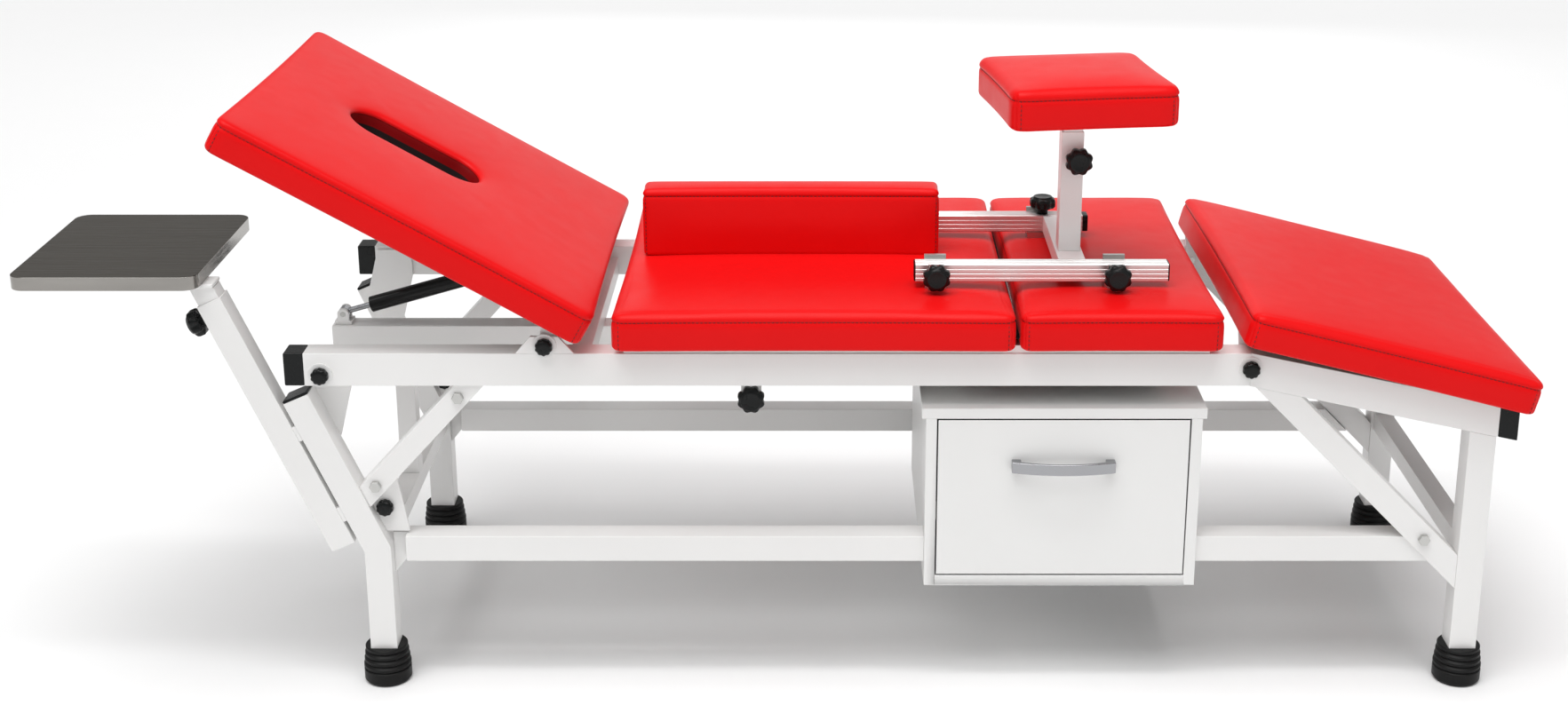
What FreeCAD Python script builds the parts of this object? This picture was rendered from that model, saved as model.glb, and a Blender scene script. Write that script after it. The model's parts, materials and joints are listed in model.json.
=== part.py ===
"""Traction bed: tilting backrest, floating seat, foot rest, leg stool, side tray and drawer cabinet.

Millimetres. +X runs from the head end to the foot end, +Y away from the drawer side, +Z up.
The origin lies on the floor under the middle of the whole bed.
"""
import FreeCAD, Part
import math
import os

V = FreeCAD.Vector

SIZES = {
    # Side rails and the sloping foot rails
    "base_width": 560, "rail_width": 40, "rail_height": 50, "tube_wall": 2, "rail_top": 532,
    "rail_head_x": -694, "bend_x": 678, "foot_slope": 12.2, "foot_rail_end": 1046,
    "cap_length": 29,
    # Legs, braces and stretchers
    "leg_size": 40, "leg_bottom": 42, "head_leg_x": -604, "head_bend_z": 221, "leg_lean": 23.7,
    "head_leg_rise": 262, "leg_cap_thickness": 4, "foot_leg_x": 1024,
    "head_brace_size": 32, "head_brace_low": 304, "head_brace_angle": 47.5,
    "foot_brace_size": 38, "foot_brace_low": 184, "foot_brace_angle": 45.5,
    "stretcher_size": 40, "stretcher_low": 200, "stretcher_head_x": -563, "stretcher_setback": 6,
    "cross_size": 30, "beam_size": 40, "beam_head_x": -712, "beam_foot_x": 75,
    "cross_x_head": -300, "cross_x_seat": 60, "hanger_inset": 41,
    "plate_thickness": 5, "tab_thickness": 6, "tab_drop": 26, "gusset_run": 62, "gusset_margin": 5,
    "brace_gusset_low": 48, "brace_gusset_run": 58, "brace_cap_drop": 26, "rail_bolt_back": 26,
    # Rubber feet
    "foot_base_radius": 35.5, "foot_neck_radius": 30.5, "foot_height": 58, "foot_band": 20, "foot_ribs": 4,
    "foot_rib_depth": 2.2,
    # Bolts and pins
    "pin_radius": 6, "pin_clearance": 0.05, "bolt_cap_radius": 13, "bolt_cap_height": 12,
    "washer_radius": 18, "washer_thickness": 2, "hex_radius": 9, "hex_height": 7,
    # Upholstery shared by every cushion
    "cushion_width": 620, "cushion_edge": 9, "cushion_crown": 5, "cushion_corner": 22, "cushion_draw": 4,
    "board_thickness": 12, "board_inset": 16, "soft_gap": 0.3,
    # Backrest and its gas spring
    "hinge_x": -344, "hinge_z": 544, "backrest_tilt": 29.7, "backrest_length": 594, "backrest_past": 42,
    "backrest_rise": 31.6, "backrest_thick": 52, "slot_length": 200, "slot_width": 75, "slot_centre": 305,
    "bar_size": 22, "bar_y": 150, "lug_thickness": 6, "hinge_plate_low": 85, "hinge_plate_high": 40,
    "spring_u": 94.5, "spring_n": -20, "spring_x": -695, "spring_z": 499, "spring_radius": 12.5,
    "spring_bore": 10, "spring_rod_radius": 4.5, "spring_rod_length": 108, "spring_mouth": 45,
    "spring_eye": 9, "spring_eye_width": 14, "spring_pin": 4, "side_gap": 0.5,
    # Floating seat
    "seat_rise": 12, "seat_thick": 55, "lumbar_head_x": -246, "lumbar_length": 582, "seat_gap": 5,
    "pelvic_length": 293, "runner_width": 36,
    "lock_x": -47, "lock_drop": 95, "lock_width": 30,
    # Bolster that stands on the seat
    "bolster_length": 457, "bolster_height": 108, "bolster_thick": 56, "bolster_head_x": -219,
    "bolster_y": -14, "bolster_corner": 14,
    # Foot rest
    "foot_hinge_z": 509, "foot_tilt": 14.2, "foot_rise": 37.6, "foot_past": 27, "foot_length": 442,
    "foot_thick": 50, "foot_lug_length": 44,
    # Leg stool on its sliding frame
    "stool_bar": 27, "stool_bar_length": 375, "stool_bar_x": 192, "stool_near_inset": 120, "stool_far_y": 61,
    "stool_far_shift": -90, "stool_lift": 12, "stool_cross_x": 426, "stool_cross_width": 40,
    "stool_post_y": -123, "sleeve_size": 33, "sleeve_top": 826, "post_gap": 0.4, "post_out": 21,
    "post_inside": 150, "spigot_length": 30, "sleeve_knob_shift": 8, "sleeve_knob_drop": 40,
    "stool_size": 250, "stool_thick": 58, "stool_yaw": 8, "stool_offset": 4,
    "stool_plate": 8, "clamp_width": 32, "clamp_back": 6, "clamp_jaw": 24,
    "stud_radius": 5,
    "clamp_left": 224, "clamp_right": 488,
    # Star knobs
    "knob_radius": 21, "knob_height": 16, "knob_hub": 10, "knob_stem": 9, "knob_lobes": 8,
    # Side tray
    "tray_length": 268, "tray_depth": 315, "tray_head_x": -1098.7, "tray_overhang": 29, "tray_top": 657,
    "tray_skirt": 20, "tray_sheet": 1.5, "tray_corner": 22, "tray_sleeve": 38, "tray_gap": 6,
    "tray_sleeve_low": 24, "tray_sleeve_length": 420, "tray_inner_gap": 0.5, "tray_inside": 250,
    "tray_arm_length": 170, "tray_arm_thickness": 6, "tray_pad_length": 110, "strap_low": 60,
    "strap_high": 200, "strap_width": 24,
    # Cabinet and drawer
    "cabinet_x": 209, "cabinet_width": 404, "cabinet_low": 164, "cabinet_height": 283, "board": 16,
    "cabinet_front": -281, "cabinet_depth": 440, "top_overhang": 6, "drawer_gap": 2, "drawer_side": 12,
    "drawer_box_height": 159, "runner_thickness": 10, "runner_gap": 0.6, "handle_width": 152,
    "handle_reach": 24, "handle_height": 17, "handle_strap": 5, "handle_z": 359, "back_board": 4,
    "hanger_near": -120, "hanger_far": 100, "box_lift": 20, "bottom_lift": 8, "box_back_gap": 10,
    "handle_foot": 14,
}

doc = FreeCAD.newDocument("traction_bed")
sheet = doc.addObject("Spreadsheet::Sheet", "Dim")
for row, (alias, size) in enumerate(SIZES.items(), start=1):
    sheet.set(f"A{row}", alias)
    sheet.set(f"B{row}", str(size))
    sheet.setAlias(f"B{row}", alias)
doc.recompute()


class Values:
    """The driving sizes, read by name from the sheet."""

    def __getattr__(self, alias):
        return float(sheet.get(alias))


dim = Values()
nodes = {}


def publish(label, *objects):
    """Name a sub-part: one object as it is, or a compound of separate pieces."""
    if len(objects) == 1:
        node = objects[0]
    else:
        node = doc.addObject("Part::Compound", label)
        node.Links = list(objects)
    node.Label = label
    nodes[label] = node
    return node


def place(thing, x, y, z, frame=FreeCAD.Placement()):
    """Put an object at a point of a frame."""
    thing.Placement = frame.multiply(FreeCAD.Placement(V(x, y, z), FreeCAD.Rotation()))
    return thing


def box(name, length, width, height, corner, frame=FreeCAD.Placement()):
    """A Part box whose three sizes are expressions on the sheet, with its low corner at a point."""
    block = doc.addObject("Part::Box", name)
    for side, text in (("Length", length), ("Width", width), ("Height", height)):
        block.setExpression(side, text)
    return place(block, *corner, frame=frame)


def rod(name, radius, height, start, direction, frame=FreeCAD.Placement()):
    """A Part cylinder from a start point along a direction, with both sizes bound to the sheet."""
    bar = doc.addObject("Part::Cylinder", name)
    bar.setExpression("Radius", radius)
    bar.setExpression("Height", height)
    turn = FreeCAD.Rotation(V(0, 0, 1), V(*direction))
    bar.Placement = frame.multiply(FreeCAD.Placement(V(*start), turn))
    return bar


def cut(name, base, *tools):
    """Base less every tool."""
    for tool in tools:
        piece = doc.addObject("Part::Cut", name)
        piece.Base = base
        piece.Tool = tool
        base = piece
    return base


def fuse(name, *shapes):
    """One solid from pieces that overlap or touch."""
    whole = doc.addObject("Part::MultiFuse", name)
    whole.Shapes = list(shapes)
    whole.Refine = True
    return whole


def feature(name, shape, x=0.0, y=0.0, z=0.0, frame=FreeCAD.Placement()):
    """A free-form solid, placed after its shape is set."""
    thing = doc.addObject("Part::Feature", name)
    thing.Shape = shape
    return place(thing, x, y, z, frame)


def mirrored(source, name):
    """The same piece on the other side of the bed."""
    twin = doc.addObject("Part::Mirroring", name)
    twin.Source = source
    twin.Normal = V(0, 1, 0)
    return twin


def outline_sketch(body, name, points):
    """A closed outline on the body's side plane."""
    sketch = body.newObject("Sketcher::SketchObject", name)
    plane = [item for item in body.Origin.OriginFeatures if item.Role == "XZ_Plane"][0]
    sketch.AttachmentSupport = [(plane, "")]
    sketch.MapMode = "FlatFace"
    corners = [V(x, z, 0) for x, z in points]
    for start, end in zip(corners, corners[1:] + corners[:1]):
        sketch.addGeometry(Part.LineSegment(start, end), False)
    return sketch


def plate(name, points, thickness, y_mid, frame=FreeCAD.Placement()):
    """A side-view outline padded to both sides of its middle plane."""
    body = doc.addObject("PartDesign::Body", name)
    pad = body.newObject("PartDesign::Pad", name + "_pad")
    pad.Profile = outline_sketch(body, name + "_outline", points)
    pad.SideType = "Symmetric"
    pad.setExpression("Length", thickness)
    place(body, 0, y_mid, 0, frame)
    return body


def inner_corner(corner, other, axis):
    """A station's corner moved in by the tube's wall, measured square to the tube's axis."""
    run = (other[0] - corner[0], other[1] - corner[1])
    length = math.hypot(*run)
    sine = abs(run[0] * axis[1] - run[1] * axis[0]) / length
    shift = dim.tube_wall / sine / length
    return corner[0] + run[0] * shift, corner[1] + run[1] * shift


def strip_outline(stations):
    """The outline round a row of stations, each a pair of corners across the strip."""
    return [low for low, high in stations] + [high for low, high in reversed(stations)]


def tube(name, stations, width, y_mid, frame=FreeCAD.Placement()):
    """A square tube in the side plane: its stations joined, padded to its width and bored to its wall."""
    body = plate(name, strip_outline(stations), width, y_mid, frame)
    bore = []
    for index, (low, high) in enumerate(stations):
        near = stations[index + 1] if index + 1 < len(stations) else stations[index - 1]
        axis = (near[0][0] - low[0], near[0][1] - low[1])
        size = math.hypot(*axis)
        axis = (axis[0] / size, axis[1] / size)
        bore.append((inner_corner(low, high, axis), inner_corner(high, low, axis)))
    pocket = body.newObject("PartDesign::Pocket", name + "_bore")
    pocket.Profile = outline_sketch(body, name + "_bore_outline", strip_outline(bore))
    pocket.SideType = "Symmetric"
    pocket.setExpression("Length", f"{width} - 2 * Dim.tube_wall")
    return body


def cross_tube(name, x_mid, low, size, half_span):
    """A square tube along Y, centred on the bed."""
    outer = box(name + "_outer", size, f"2 * ({half_span})", size, (0, 0, 0))
    inner = box(name + "_inner", f"{size} - 2 * Dim.tube_wall", f"2 * ({half_span})",
                f"{size} - 2 * Dim.tube_wall", (dim.tube_wall, 0, dim.tube_wall))
    doc.recompute()
    bored = cut(name, outer, inner)
    return place(bored, x_mid - outer.Length.Value / 2, -outer.Width.Value / 2, low)


def meet(point, slope, other, other_slope):
    """Where two side-view lines cross, each a point and a direction in degrees from +X."""
    dx, dz = math.cos(math.radians(slope)), math.sin(math.radians(slope))
    ex, ez = math.cos(math.radians(other_slope)), math.sin(math.radians(other_slope))
    along = ((other[0] - point[0]) * ez - (other[1] - point[1]) * ex) / (dx * ez - dz * ex)
    return point[0] + along * dx, point[1] + along * dz


def shifted(point, angle, distance):
    """A side-view point moved by a distance along a direction in degrees from +X."""
    return (point[0] + distance * math.cos(math.radians(angle)),
            point[1] + distance * math.sin(math.radians(angle)))


def ring(length, width, corner, draw, level):
    """One level outline of a cushion: four drawn-in sides joined by corner arcs."""
    edges = []
    bulge = corner * (1 - math.sqrt(0.5))
    for quarter in range(4):
        along, out = (length / 2, width / 2) if quarter % 2 == 0 else (width / 2, length / 2)
        turn = FreeCAD.Rotation(V(0, 0, 1), 90 * quarter)
        start = turn.multVec(V(corner - along, -out, level))
        middle = turn.multVec(V(0, draw - out, level))
        end = turn.multVec(V(along - corner, -out, level))
        bend = turn.multVec(V(along - bulge, bulge - out, level))
        after = turn.multVec(V(along, corner - out, level))
        edges.append(Part.Arc(start, middle, end).toShape())
        edges.append(Part.Arc(end, bend, after).toShape())
    return Part.Wire(edges)


def cushion(length, width, thick, corner, crown):
    """A padded block on its bottom centre: rolled edges, drawn-in sides and a crowned top."""
    edge = dim.cushion_edge
    short = min(length, width)
    levels = (
        (0, 0.45 * edge), (0.55 * edge, 0), (thick - edge, 0), (thick - 0.3 * edge, 0.3 * edge),
        (thick, edge),
        (thick + 0.6 * crown, edge + 0.26 * (short / 2 - edge)),
        (thick + crown, edge + 0.57 * (short / 2 - edge)),
    )
    rings = []
    for level, inset in levels:
        around = min(corner + 0.35 * inset, 0.3 * (short - 2 * inset))
        rings.append(ring(length - 2 * inset, width - 2 * inset, around, dim.cushion_draw, level))
    return Part.makeLoft(rings, True, True)


def board_recess(length, width, corner=(0, 0, 0)):
    """The space for a board in the underside of a cushion, a soft gap larger than the board."""
    gap = dim.soft_gap
    inset = dim.board_inset
    block = Part.makeBox(length - 2 * inset + 2 * gap, width - 2 * inset + 2 * gap,
                         dim.board_thickness + 2 * gap)
    block.translate(V(inset - gap - length / 2, inset - gap - width / 2, -gap) + V(*corner))
    return block


def stadium(length, width, height):
    """An upright prism with two round ends, centred on the origin."""
    half, radius = length / 2 - width / 2, width / 2
    edges = [
        Part.LineSegment(V(-half, -radius, 0), V(half, -radius, 0)).toShape(),
        Part.Arc(V(half, -radius, 0), V(half + radius, 0, 0), V(half, radius, 0)).toShape(),
        Part.LineSegment(V(half, radius, 0), V(-half, radius, 0)).toShape(),
        Part.Arc(V(-half, radius, 0), V(-half - radius, 0, 0), V(-half, -radius, 0)).toShape(),
    ]
    return Part.Face(Part.Wire(edges)).extrude(V(0, 0, height))


def star_knob(name, seat, direction):
    """A lobed knob with a hub, standing off its seat along a direction."""
    lobes = int(dim.knob_lobes)
    step = 360 / lobes
    polar = lambda angle, radius: FreeCAD.Rotation(V(0, 0, 1), angle).multVec(V(radius, 0, dim.knob_stem))
    waist = 0.88 * dim.knob_radius
    edges = []
    for lobe in range(lobes):
        middle = lobe * step
        edges.append(Part.Arc(polar(middle - 0.3 * step, 0.95 * dim.knob_radius),
                              polar(middle, dim.knob_radius),
                              polar(middle + 0.3 * step, 0.95 * dim.knob_radius)).toShape())
        edges.append(Part.Arc(polar(middle + 0.3 * step, 0.95 * dim.knob_radius),
                              polar(middle + 0.5 * step, waist),
                              polar(middle + 0.7 * step, 0.95 * dim.knob_radius)).toShape())
    head = Part.Face(Part.Wire(edges)).extrude(V(0, 0, dim.knob_height))
    hub = Part.makeCylinder(dim.knob_hub, dim.knob_stem)
    cap = Part.makeCone(0.72 * dim.knob_radius, 0.5 * dim.knob_radius, 0.2 * dim.knob_height,
                        V(0, 0, dim.knob_stem + dim.knob_height))
    thing = feature(name, head.fuse([hub, cap]).removeSplitter())
    thing.Placement = FreeCAD.Placement(V(*seat), FreeCAD.Rotation(V(0, 0, 1), V(*direction)))
    return publish(name, thing)


# Shared places worked out from the driving sizes
rail_y = dim.base_width / 2 - dim.rail_width / 2
rail_inner = dim.base_width / 2 - dim.rail_width
rail_outer = dim.base_width / 2
rail_low = dim.rail_top - dim.rail_height
rail_mid = dim.rail_top - dim.rail_height / 2
seat_low = dim.rail_top + dim.seat_rise
seat_top = seat_low + dim.seat_thick + dim.cushion_crown
lean = 90 + dim.leg_lean
backrest_frame = FreeCAD.Placement(V(dim.hinge_x, 0, dim.hinge_z),
                                   FreeCAD.Rotation(V(0, 1, 0), dim.backrest_tilt))
foot_frame = FreeCAD.Placement(V(dim.bend_x, 0, dim.foot_hinge_z),
                               FreeCAD.Rotation(V(0, 1, 0), dim.foot_tilt))
INNER = "Dim.base_width / 2 - Dim.rail_width"


def side_group(label, *pieces):
    """Near pieces and their mirror images as one node of separate solids."""
    both = list(pieces)
    for index, piece in enumerate(pieces):
        both.append(mirrored(piece, f"{label}_far_{index}"))
    return publish(label, *both)


# Side rails, foot rails and their black end plugs
half_sloped = dim.rail_height / 2 / math.cos(math.radians(dim.foot_slope))


def foot_rail_station(x):
    """The foot rail's lower and upper corners at a place along X."""
    middle = rail_mid - (x - dim.bend_x) * math.tan(math.radians(dim.foot_slope))
    return (x, middle - half_sloped), (x, middle + half_sloped)


side_group("side_rails", tube("side_rail", [
    ((dim.rail_head_x, rail_low), (dim.rail_head_x, dim.rail_top)),
    ((dim.bend_x, rail_low), (dim.bend_x, dim.rail_top))], "Dim.rail_width", -rail_y))
side_group("foot_rails", tube("foot_rail", [
    foot_rail_station(dim.bend_x), foot_rail_station(dim.foot_rail_end)], "Dim.rail_width", -rail_y))
head_plug = box("head_plug", "Dim.cap_length", "Dim.rail_width", "Dim.rail_height",
                (dim.rail_head_x - dim.cap_length, -rail_outer, rail_low))
foot_plug = plate("foot_plug", strip_outline([foot_rail_station(dim.foot_rail_end),
                                              foot_rail_station(dim.foot_rail_end + dim.cap_length)]),
                  "Dim.rail_width", -rail_y)

# Head legs: upright below, leaning out above, with a slanted cap
half_leg = dim.leg_size / 2
mitre = half_leg * math.tan(math.radians(dim.leg_lean / 2))
leg_bend = (dim.head_leg_x, dim.head_bend_z)
leg_end = shifted(leg_bend, lean, dim.head_leg_rise)
leg_tip = shifted(leg_end, lean, dim.leg_cap_thickness)


def across(point, angle, half):
    """Two corners either side of a point, square to a direction."""
    return shifted(point, angle + 90, half), shifted(point, angle - 90, half)


side_group("head_legs", tube("head_leg", [
    ((dim.head_leg_x - half_leg, dim.leg_bottom), (dim.head_leg_x + half_leg, dim.leg_bottom)),
    ((dim.head_leg_x - half_leg, dim.head_bend_z - mitre),
     (dim.head_leg_x + half_leg, dim.head_bend_z + mitre)),
    across(leg_end, lean, half_leg)], "Dim.leg_size", -rail_y))
leg_plug = plate("leg_plug", strip_outline([across(leg_end, lean, half_leg),
                                            across(leg_tip, lean, half_leg)]),
                 "Dim.leg_size", -rail_y)
side_group("end_plugs", head_plug, foot_plug, leg_plug)

# Foot legs, cut to the slope of the foot rail
leg_left, leg_right = dim.foot_leg_x - half_leg, dim.foot_leg_x + half_leg
side_group("foot_legs", tube("foot_leg", [
    ((leg_left, dim.leg_bottom), (leg_right, dim.leg_bottom)),
    (foot_rail_station(leg_left)[0], foot_rail_station(leg_right)[0])], "Dim.leg_size", -rail_y))


def brace(low_point, angle, size, low_line, high_line):
    """A brace tube trimmed to the two lines that it is welded to, each a point and a slope."""
    edge_a = shifted(low_point, angle + 90, size / 2)
    edge_b = shifted(low_point, angle - 90, size / 2)
    return [(meet(edge_a, angle, *low_line), meet(edge_b, angle, *low_line)),
            (meet(edge_a, angle, *high_line), meet(edge_b, angle, *high_line))]


leg_face = (shifted(leg_bend, lean - 90, half_leg), lean)
head_brace_foot = meet(leg_face[0], lean, (0, dim.head_brace_low), 0)
head_brace_line = brace(head_brace_foot, dim.head_brace_angle, dim.head_brace_size,
                        leg_face, ((0, rail_low), 0))
side_group("head_braces", tube("head_brace", head_brace_line, "Dim.head_brace_size", -rail_y))
foot_brace_foot = (leg_left, dim.foot_brace_low)
foot_brace_slope = 180 - dim.foot_brace_angle
foot_brace_line = brace(foot_brace_foot, foot_brace_slope, dim.foot_brace_size,
                        (foot_brace_foot, 90), (foot_rail_station(dim.bend_x)[0], -dim.foot_slope))
side_group("foot_braces", tube("foot_brace", foot_brace_line, "Dim.foot_brace_size", -rail_y))

# Stretchers: the near one stops at the cabinet's sides, the far one runs through
stretcher_y = rail_y - dim.stretcher_setback
stretcher_high = dim.stretcher_low + dim.stretcher_size
brace_edge = min(foot_brace_line[0], key=lambda point: point[1])
foot_end = (meet(brace_edge, foot_brace_slope, (0, dim.stretcher_low), 0),
            meet(brace_edge, foot_brace_slope, (0, stretcher_high), 0))
cabinet_right = dim.cabinet_x + dim.cabinet_width


def upright(x):
    """A square-cut stretcher end."""
    return (x, dim.stretcher_low), (x, stretcher_high)


publish("stretchers",
        tube("near_stretcher_head", [upright(dim.stretcher_head_x), upright(dim.cabinet_x)],
             "Dim.stretcher_size", -stretcher_y),
        tube("near_stretcher_foot", [upright(cabinet_right), foot_end], "Dim.stretcher_size", -stretcher_y),
        tube("far_stretcher", [upright(dim.stretcher_head_x), foot_end], "Dim.stretcher_size", stretcher_y))

# Cross tubes between the legs and between the rails, and the centre beam with its post
low_cross = dim.stretcher_low
publish("leg_cross_tubes",
        cross_tube("head_cross_tube", dim.head_leg_x, low_cross, "Dim.cross_size", INNER),
        cross_tube("foot_cross_tube", dim.foot_leg_x, low_cross, "Dim.cross_size", INNER))
hanger_left, hanger_right = dim.cabinet_x + dim.hanger_inset, cabinet_right - dim.hanger_inset
publish("rail_cross_tubes", *[
    cross_tube(f"rail_cross_{index}", x_mid, rail_low, "Dim.cross_size", INNER)
    for index, x_mid in enumerate((dim.cross_x_head, dim.cross_x_seat, hanger_left, hanger_right))])
beam_low = rail_low - dim.beam_size
publish("centre_beam", tube("centre_beam", [
    ((dim.beam_head_x, beam_low), (dim.beam_head_x, rail_low)),
    ((dim.beam_foot_x, beam_low), (dim.beam_foot_x, rail_low))], "Dim.beam_size", 0))
post_half = dim.cross_size / 2
publish("beam_post", tube("beam_post", [
    ((dim.head_leg_x - post_half, low_cross + dim.cross_size),
     (dim.head_leg_x + post_half, low_cross + dim.cross_size)),
    ((dim.head_leg_x - post_half, beam_low), (dim.head_leg_x + post_half, beam_low))], "Dim.cross_size", 0))

# Gusset plates at the head legs, tabs at the stretcher ends and straps that hold the tray sleeve
gusset_y = -rail_inner + dim.plate_thickness / 2
leg_low = shifted(leg_end, lean, -2.2 * dim.leg_size)
gusset = plate("head_gusset", [
    (dim.rail_head_x + dim.gusset_margin, dim.rail_top - dim.gusset_margin),
    (dim.rail_head_x + dim.gusset_run, dim.rail_top - dim.gusset_margin),
    (dim.rail_head_x + dim.gusset_run, rail_low),
    shifted(leg_low, lean - 90, half_leg), shifted(leg_low, lean + 90, 0),
    shifted(leg_end, lean, -dim.gusset_margin)], "Dim.plate_thickness", gusset_y)
tab = plate("stretcher_tab", [
    (dim.head_leg_x + half_leg, stretcher_high), (dim.stretcher_head_x, stretcher_high),
    (dim.stretcher_head_x, dim.stretcher_low), (dim.head_leg_x + half_leg, dim.stretcher_low - dim.tab_drop)],
    "Dim.tab_thickness", -stretcher_y)
brace_edge_line = shifted(head_brace_foot, dim.head_brace_angle - 90, dim.head_brace_size / 2)
brace_root = meet(brace_edge_line, dim.head_brace_angle, *leg_face)
brace_gusset = plate("brace_gusset", [
    brace_root, shifted(brace_root, lean, -dim.brace_gusset_low),
    shifted(shifted(brace_root, lean, -dim.brace_gusset_low), 0, 0.6 * dim.brace_gusset_run),
    shifted(brace_root, dim.head_brace_angle, dim.brace_gusset_run)], "Dim.plate_thickness", -rail_y)
side_group("gusset_plates", gusset, tab, brace_gusset)

# Ribbed rubber feet with a square socket for the leg
rib_pitch = (dim.foot_height - dim.foot_band) / dim.foot_ribs
profile = [V(0, 0, 0), V(dim.foot_base_radius - 3, 0, 0), V(dim.foot_base_radius, 0, 4),
           V(dim.foot_base_radius, 0, dim.foot_band)]
for rib in range(int(dim.foot_ribs)):
    base = dim.foot_band + rib * rib_pitch
    share = rib / dim.foot_ribs
    radius = dim.foot_base_radius + (dim.foot_neck_radius - dim.foot_base_radius) * share
    profile += [V(radius - dim.foot_rib_depth, 0, base + 0.2 * rib_pitch),
                V(radius, 0, base + 0.45 * rib_pitch),
                V(radius, 0, base + 0.85 * rib_pitch)]
profile += [V(dim.foot_neck_radius, 0, dim.foot_height), V(0, 0, dim.foot_height)]
foot_blank = Part.Face(Part.makePolygon(profile + profile[:1])).revolve(V(0, 0, 0), V(0, 0, 1), 360)
socket = Part.makeBox(dim.leg_size, dim.leg_size, dim.foot_height, V(-half_leg, -half_leg, dim.leg_bottom))
foot_shape = foot_blank.cut(socket)
side_group("rubber_feet", *[feature(f"rubber_foot_{index}", foot_shape.copy(), x_mid, -rail_y)
                            for index, x_mid in enumerate((dim.head_leg_x, dim.foot_leg_x))])

# Hinge plates on the rails, stub pins, black bolt caps and white washers
hinge_plate_y = rail_outer - dim.lug_thickness / 2
half_low, half_high = dim.hinge_plate_low / 2, dim.hinge_plate_high / 2
hinge_top = dim.hinge_z + 14
hinge_plate = plate("hinge_plate", [
    (dim.hinge_x - half_low, dim.rail_top), (dim.hinge_x + half_low, dim.rail_top),
    (dim.hinge_x + half_high, hinge_top), (dim.hinge_x - half_high, hinge_top)], "Dim.lug_thickness",
    -hinge_plate_y)
side_group("backrest_hinge_plates", hinge_plate)
hinge_inner = hinge_plate_y - dim.lug_thickness / 2
backrest_pin = rod("backrest_pin", "Dim.pin_radius", "Dim.lug_thickness + 3 * Dim.side_gap",
                   (dim.hinge_x, -hinge_inner, dim.hinge_z), (0, 1, 0))
foot_pin = rod("foot_pin", "Dim.pin_radius", "Dim.lug_thickness + 3 * Dim.side_gap",
               (dim.bend_x, -rail_inner, dim.foot_hinge_z), (0, 1, 0))
side_group("pivot_pins", backrest_pin, foot_pin)
plate_face = hinge_plate_y + dim.lug_thickness / 2
bolt_seats = (
    (dim.hinge_x, dim.hinge_z, plate_face),
    (dim.bend_x, dim.foot_hinge_z, rail_outer),
    (dim.rail_head_x + 24, rail_mid - 8, rail_outer),
)
washers, caps, gusset_caps = [], [], []
for index, (x_mid, z_mid, face) in enumerate(bolt_seats):
    washers.append(rod(f"washer_{index}", "Dim.washer_radius", "Dim.washer_thickness", (x_mid, -face, z_mid),
                       (0, -1, 0)))
    stem = rod(f"cap_{index}", "Dim.bolt_cap_radius", "Dim.bolt_cap_height",
               (x_mid, -face - dim.washer_thickness, z_mid), (0, -1, 0))
    rounded = doc.addObject("Part::Fillet", f"bolt_cap_{index}")
    doc.recompute()
    rounded.Base = stem
    top_edge = [number + 1 for number, edge in enumerate(stem.Shape.Edges)
                if abs(edge.BoundBox.YMin + face + dim.washer_thickness + dim.bolt_cap_height) < 0.01
                and abs(edge.BoundBox.YLength) < 0.01]
    rounded.Edges = [(number, 0.4 * dim.bolt_cap_height, 0.4 * dim.bolt_cap_height) for number in top_edge]
    caps.append(rounded)
side_group("bolt_washers", *washers)
cap_place = shifted(shifted(brace_root, dim.head_brace_angle, 0.5 * dim.brace_gusset_run), -90,
                    dim.brace_cap_drop)
for side in (-1, 1):
    round_cap = Part.makeCylinder(dim.bolt_cap_radius, dim.bolt_cap_height)
    upper = [edge for edge in round_cap.Edges if edge.BoundBox.ZMin > 0.9 * dim.bolt_cap_height]
    gusset_cap = feature(f"gusset_cap_{side + 1}", round_cap.makeFillet(0.4 * dim.bolt_cap_height, upper))
    gusset_cap.Placement = FreeCAD.Placement(V(cap_place[0], side * rail_y - dim.plate_thickness / 2,
                                               cap_place[1]),
                                             FreeCAD.Rotation(V(0, 0, 1), V(0, -1, 0)))
    gusset_caps.append(gusset_cap)
far_caps = [mirrored(cap, f"bolt_caps_far_{index}") for index, cap in enumerate(caps)]
publish("bolt_caps", *caps, *far_caps, *gusset_caps)


def hex_head(name, x_mid, z_mid, face):
    """A hexagon bolt head that stands on a face towards the near side."""
    points = [V(dim.hex_radius * math.cos(math.radians(60 * k)),
                dim.hex_radius * math.sin(math.radians(60 * k)), 0)
              for k in range(6)]
    prism = Part.Face(Part.makePolygon(points + points[:1])).extrude(V(0, 0, dim.hex_height))
    head = feature(name, prism)
    head.Placement = FreeCAD.Placement(V(x_mid, face, z_mid), FreeCAD.Rotation(V(0, 0, 1), V(0, -1, 0)))
    return head


head_bolt = shifted(head_brace_foot, dim.head_brace_angle, 0.8 * dim.head_brace_size)
rail_bolt = shifted(meet(head_brace_foot, dim.head_brace_angle, (0, rail_low), 0), dim.head_brace_angle,
                    -dim.rail_bolt_back)
foot_bolt = shifted(foot_brace_foot, foot_brace_slope, 2.0 * dim.foot_brace_size)
side_group("brace_bolts",
           hex_head("head_bolt", *head_bolt, -rail_y - dim.head_brace_size / 2),
           hex_head("rail_bolt", *rail_bolt, -rail_y - dim.head_brace_size / 2),
           hex_head("foot_bolt", *foot_bolt, -rail_y - dim.foot_brace_size / 2))

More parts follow.
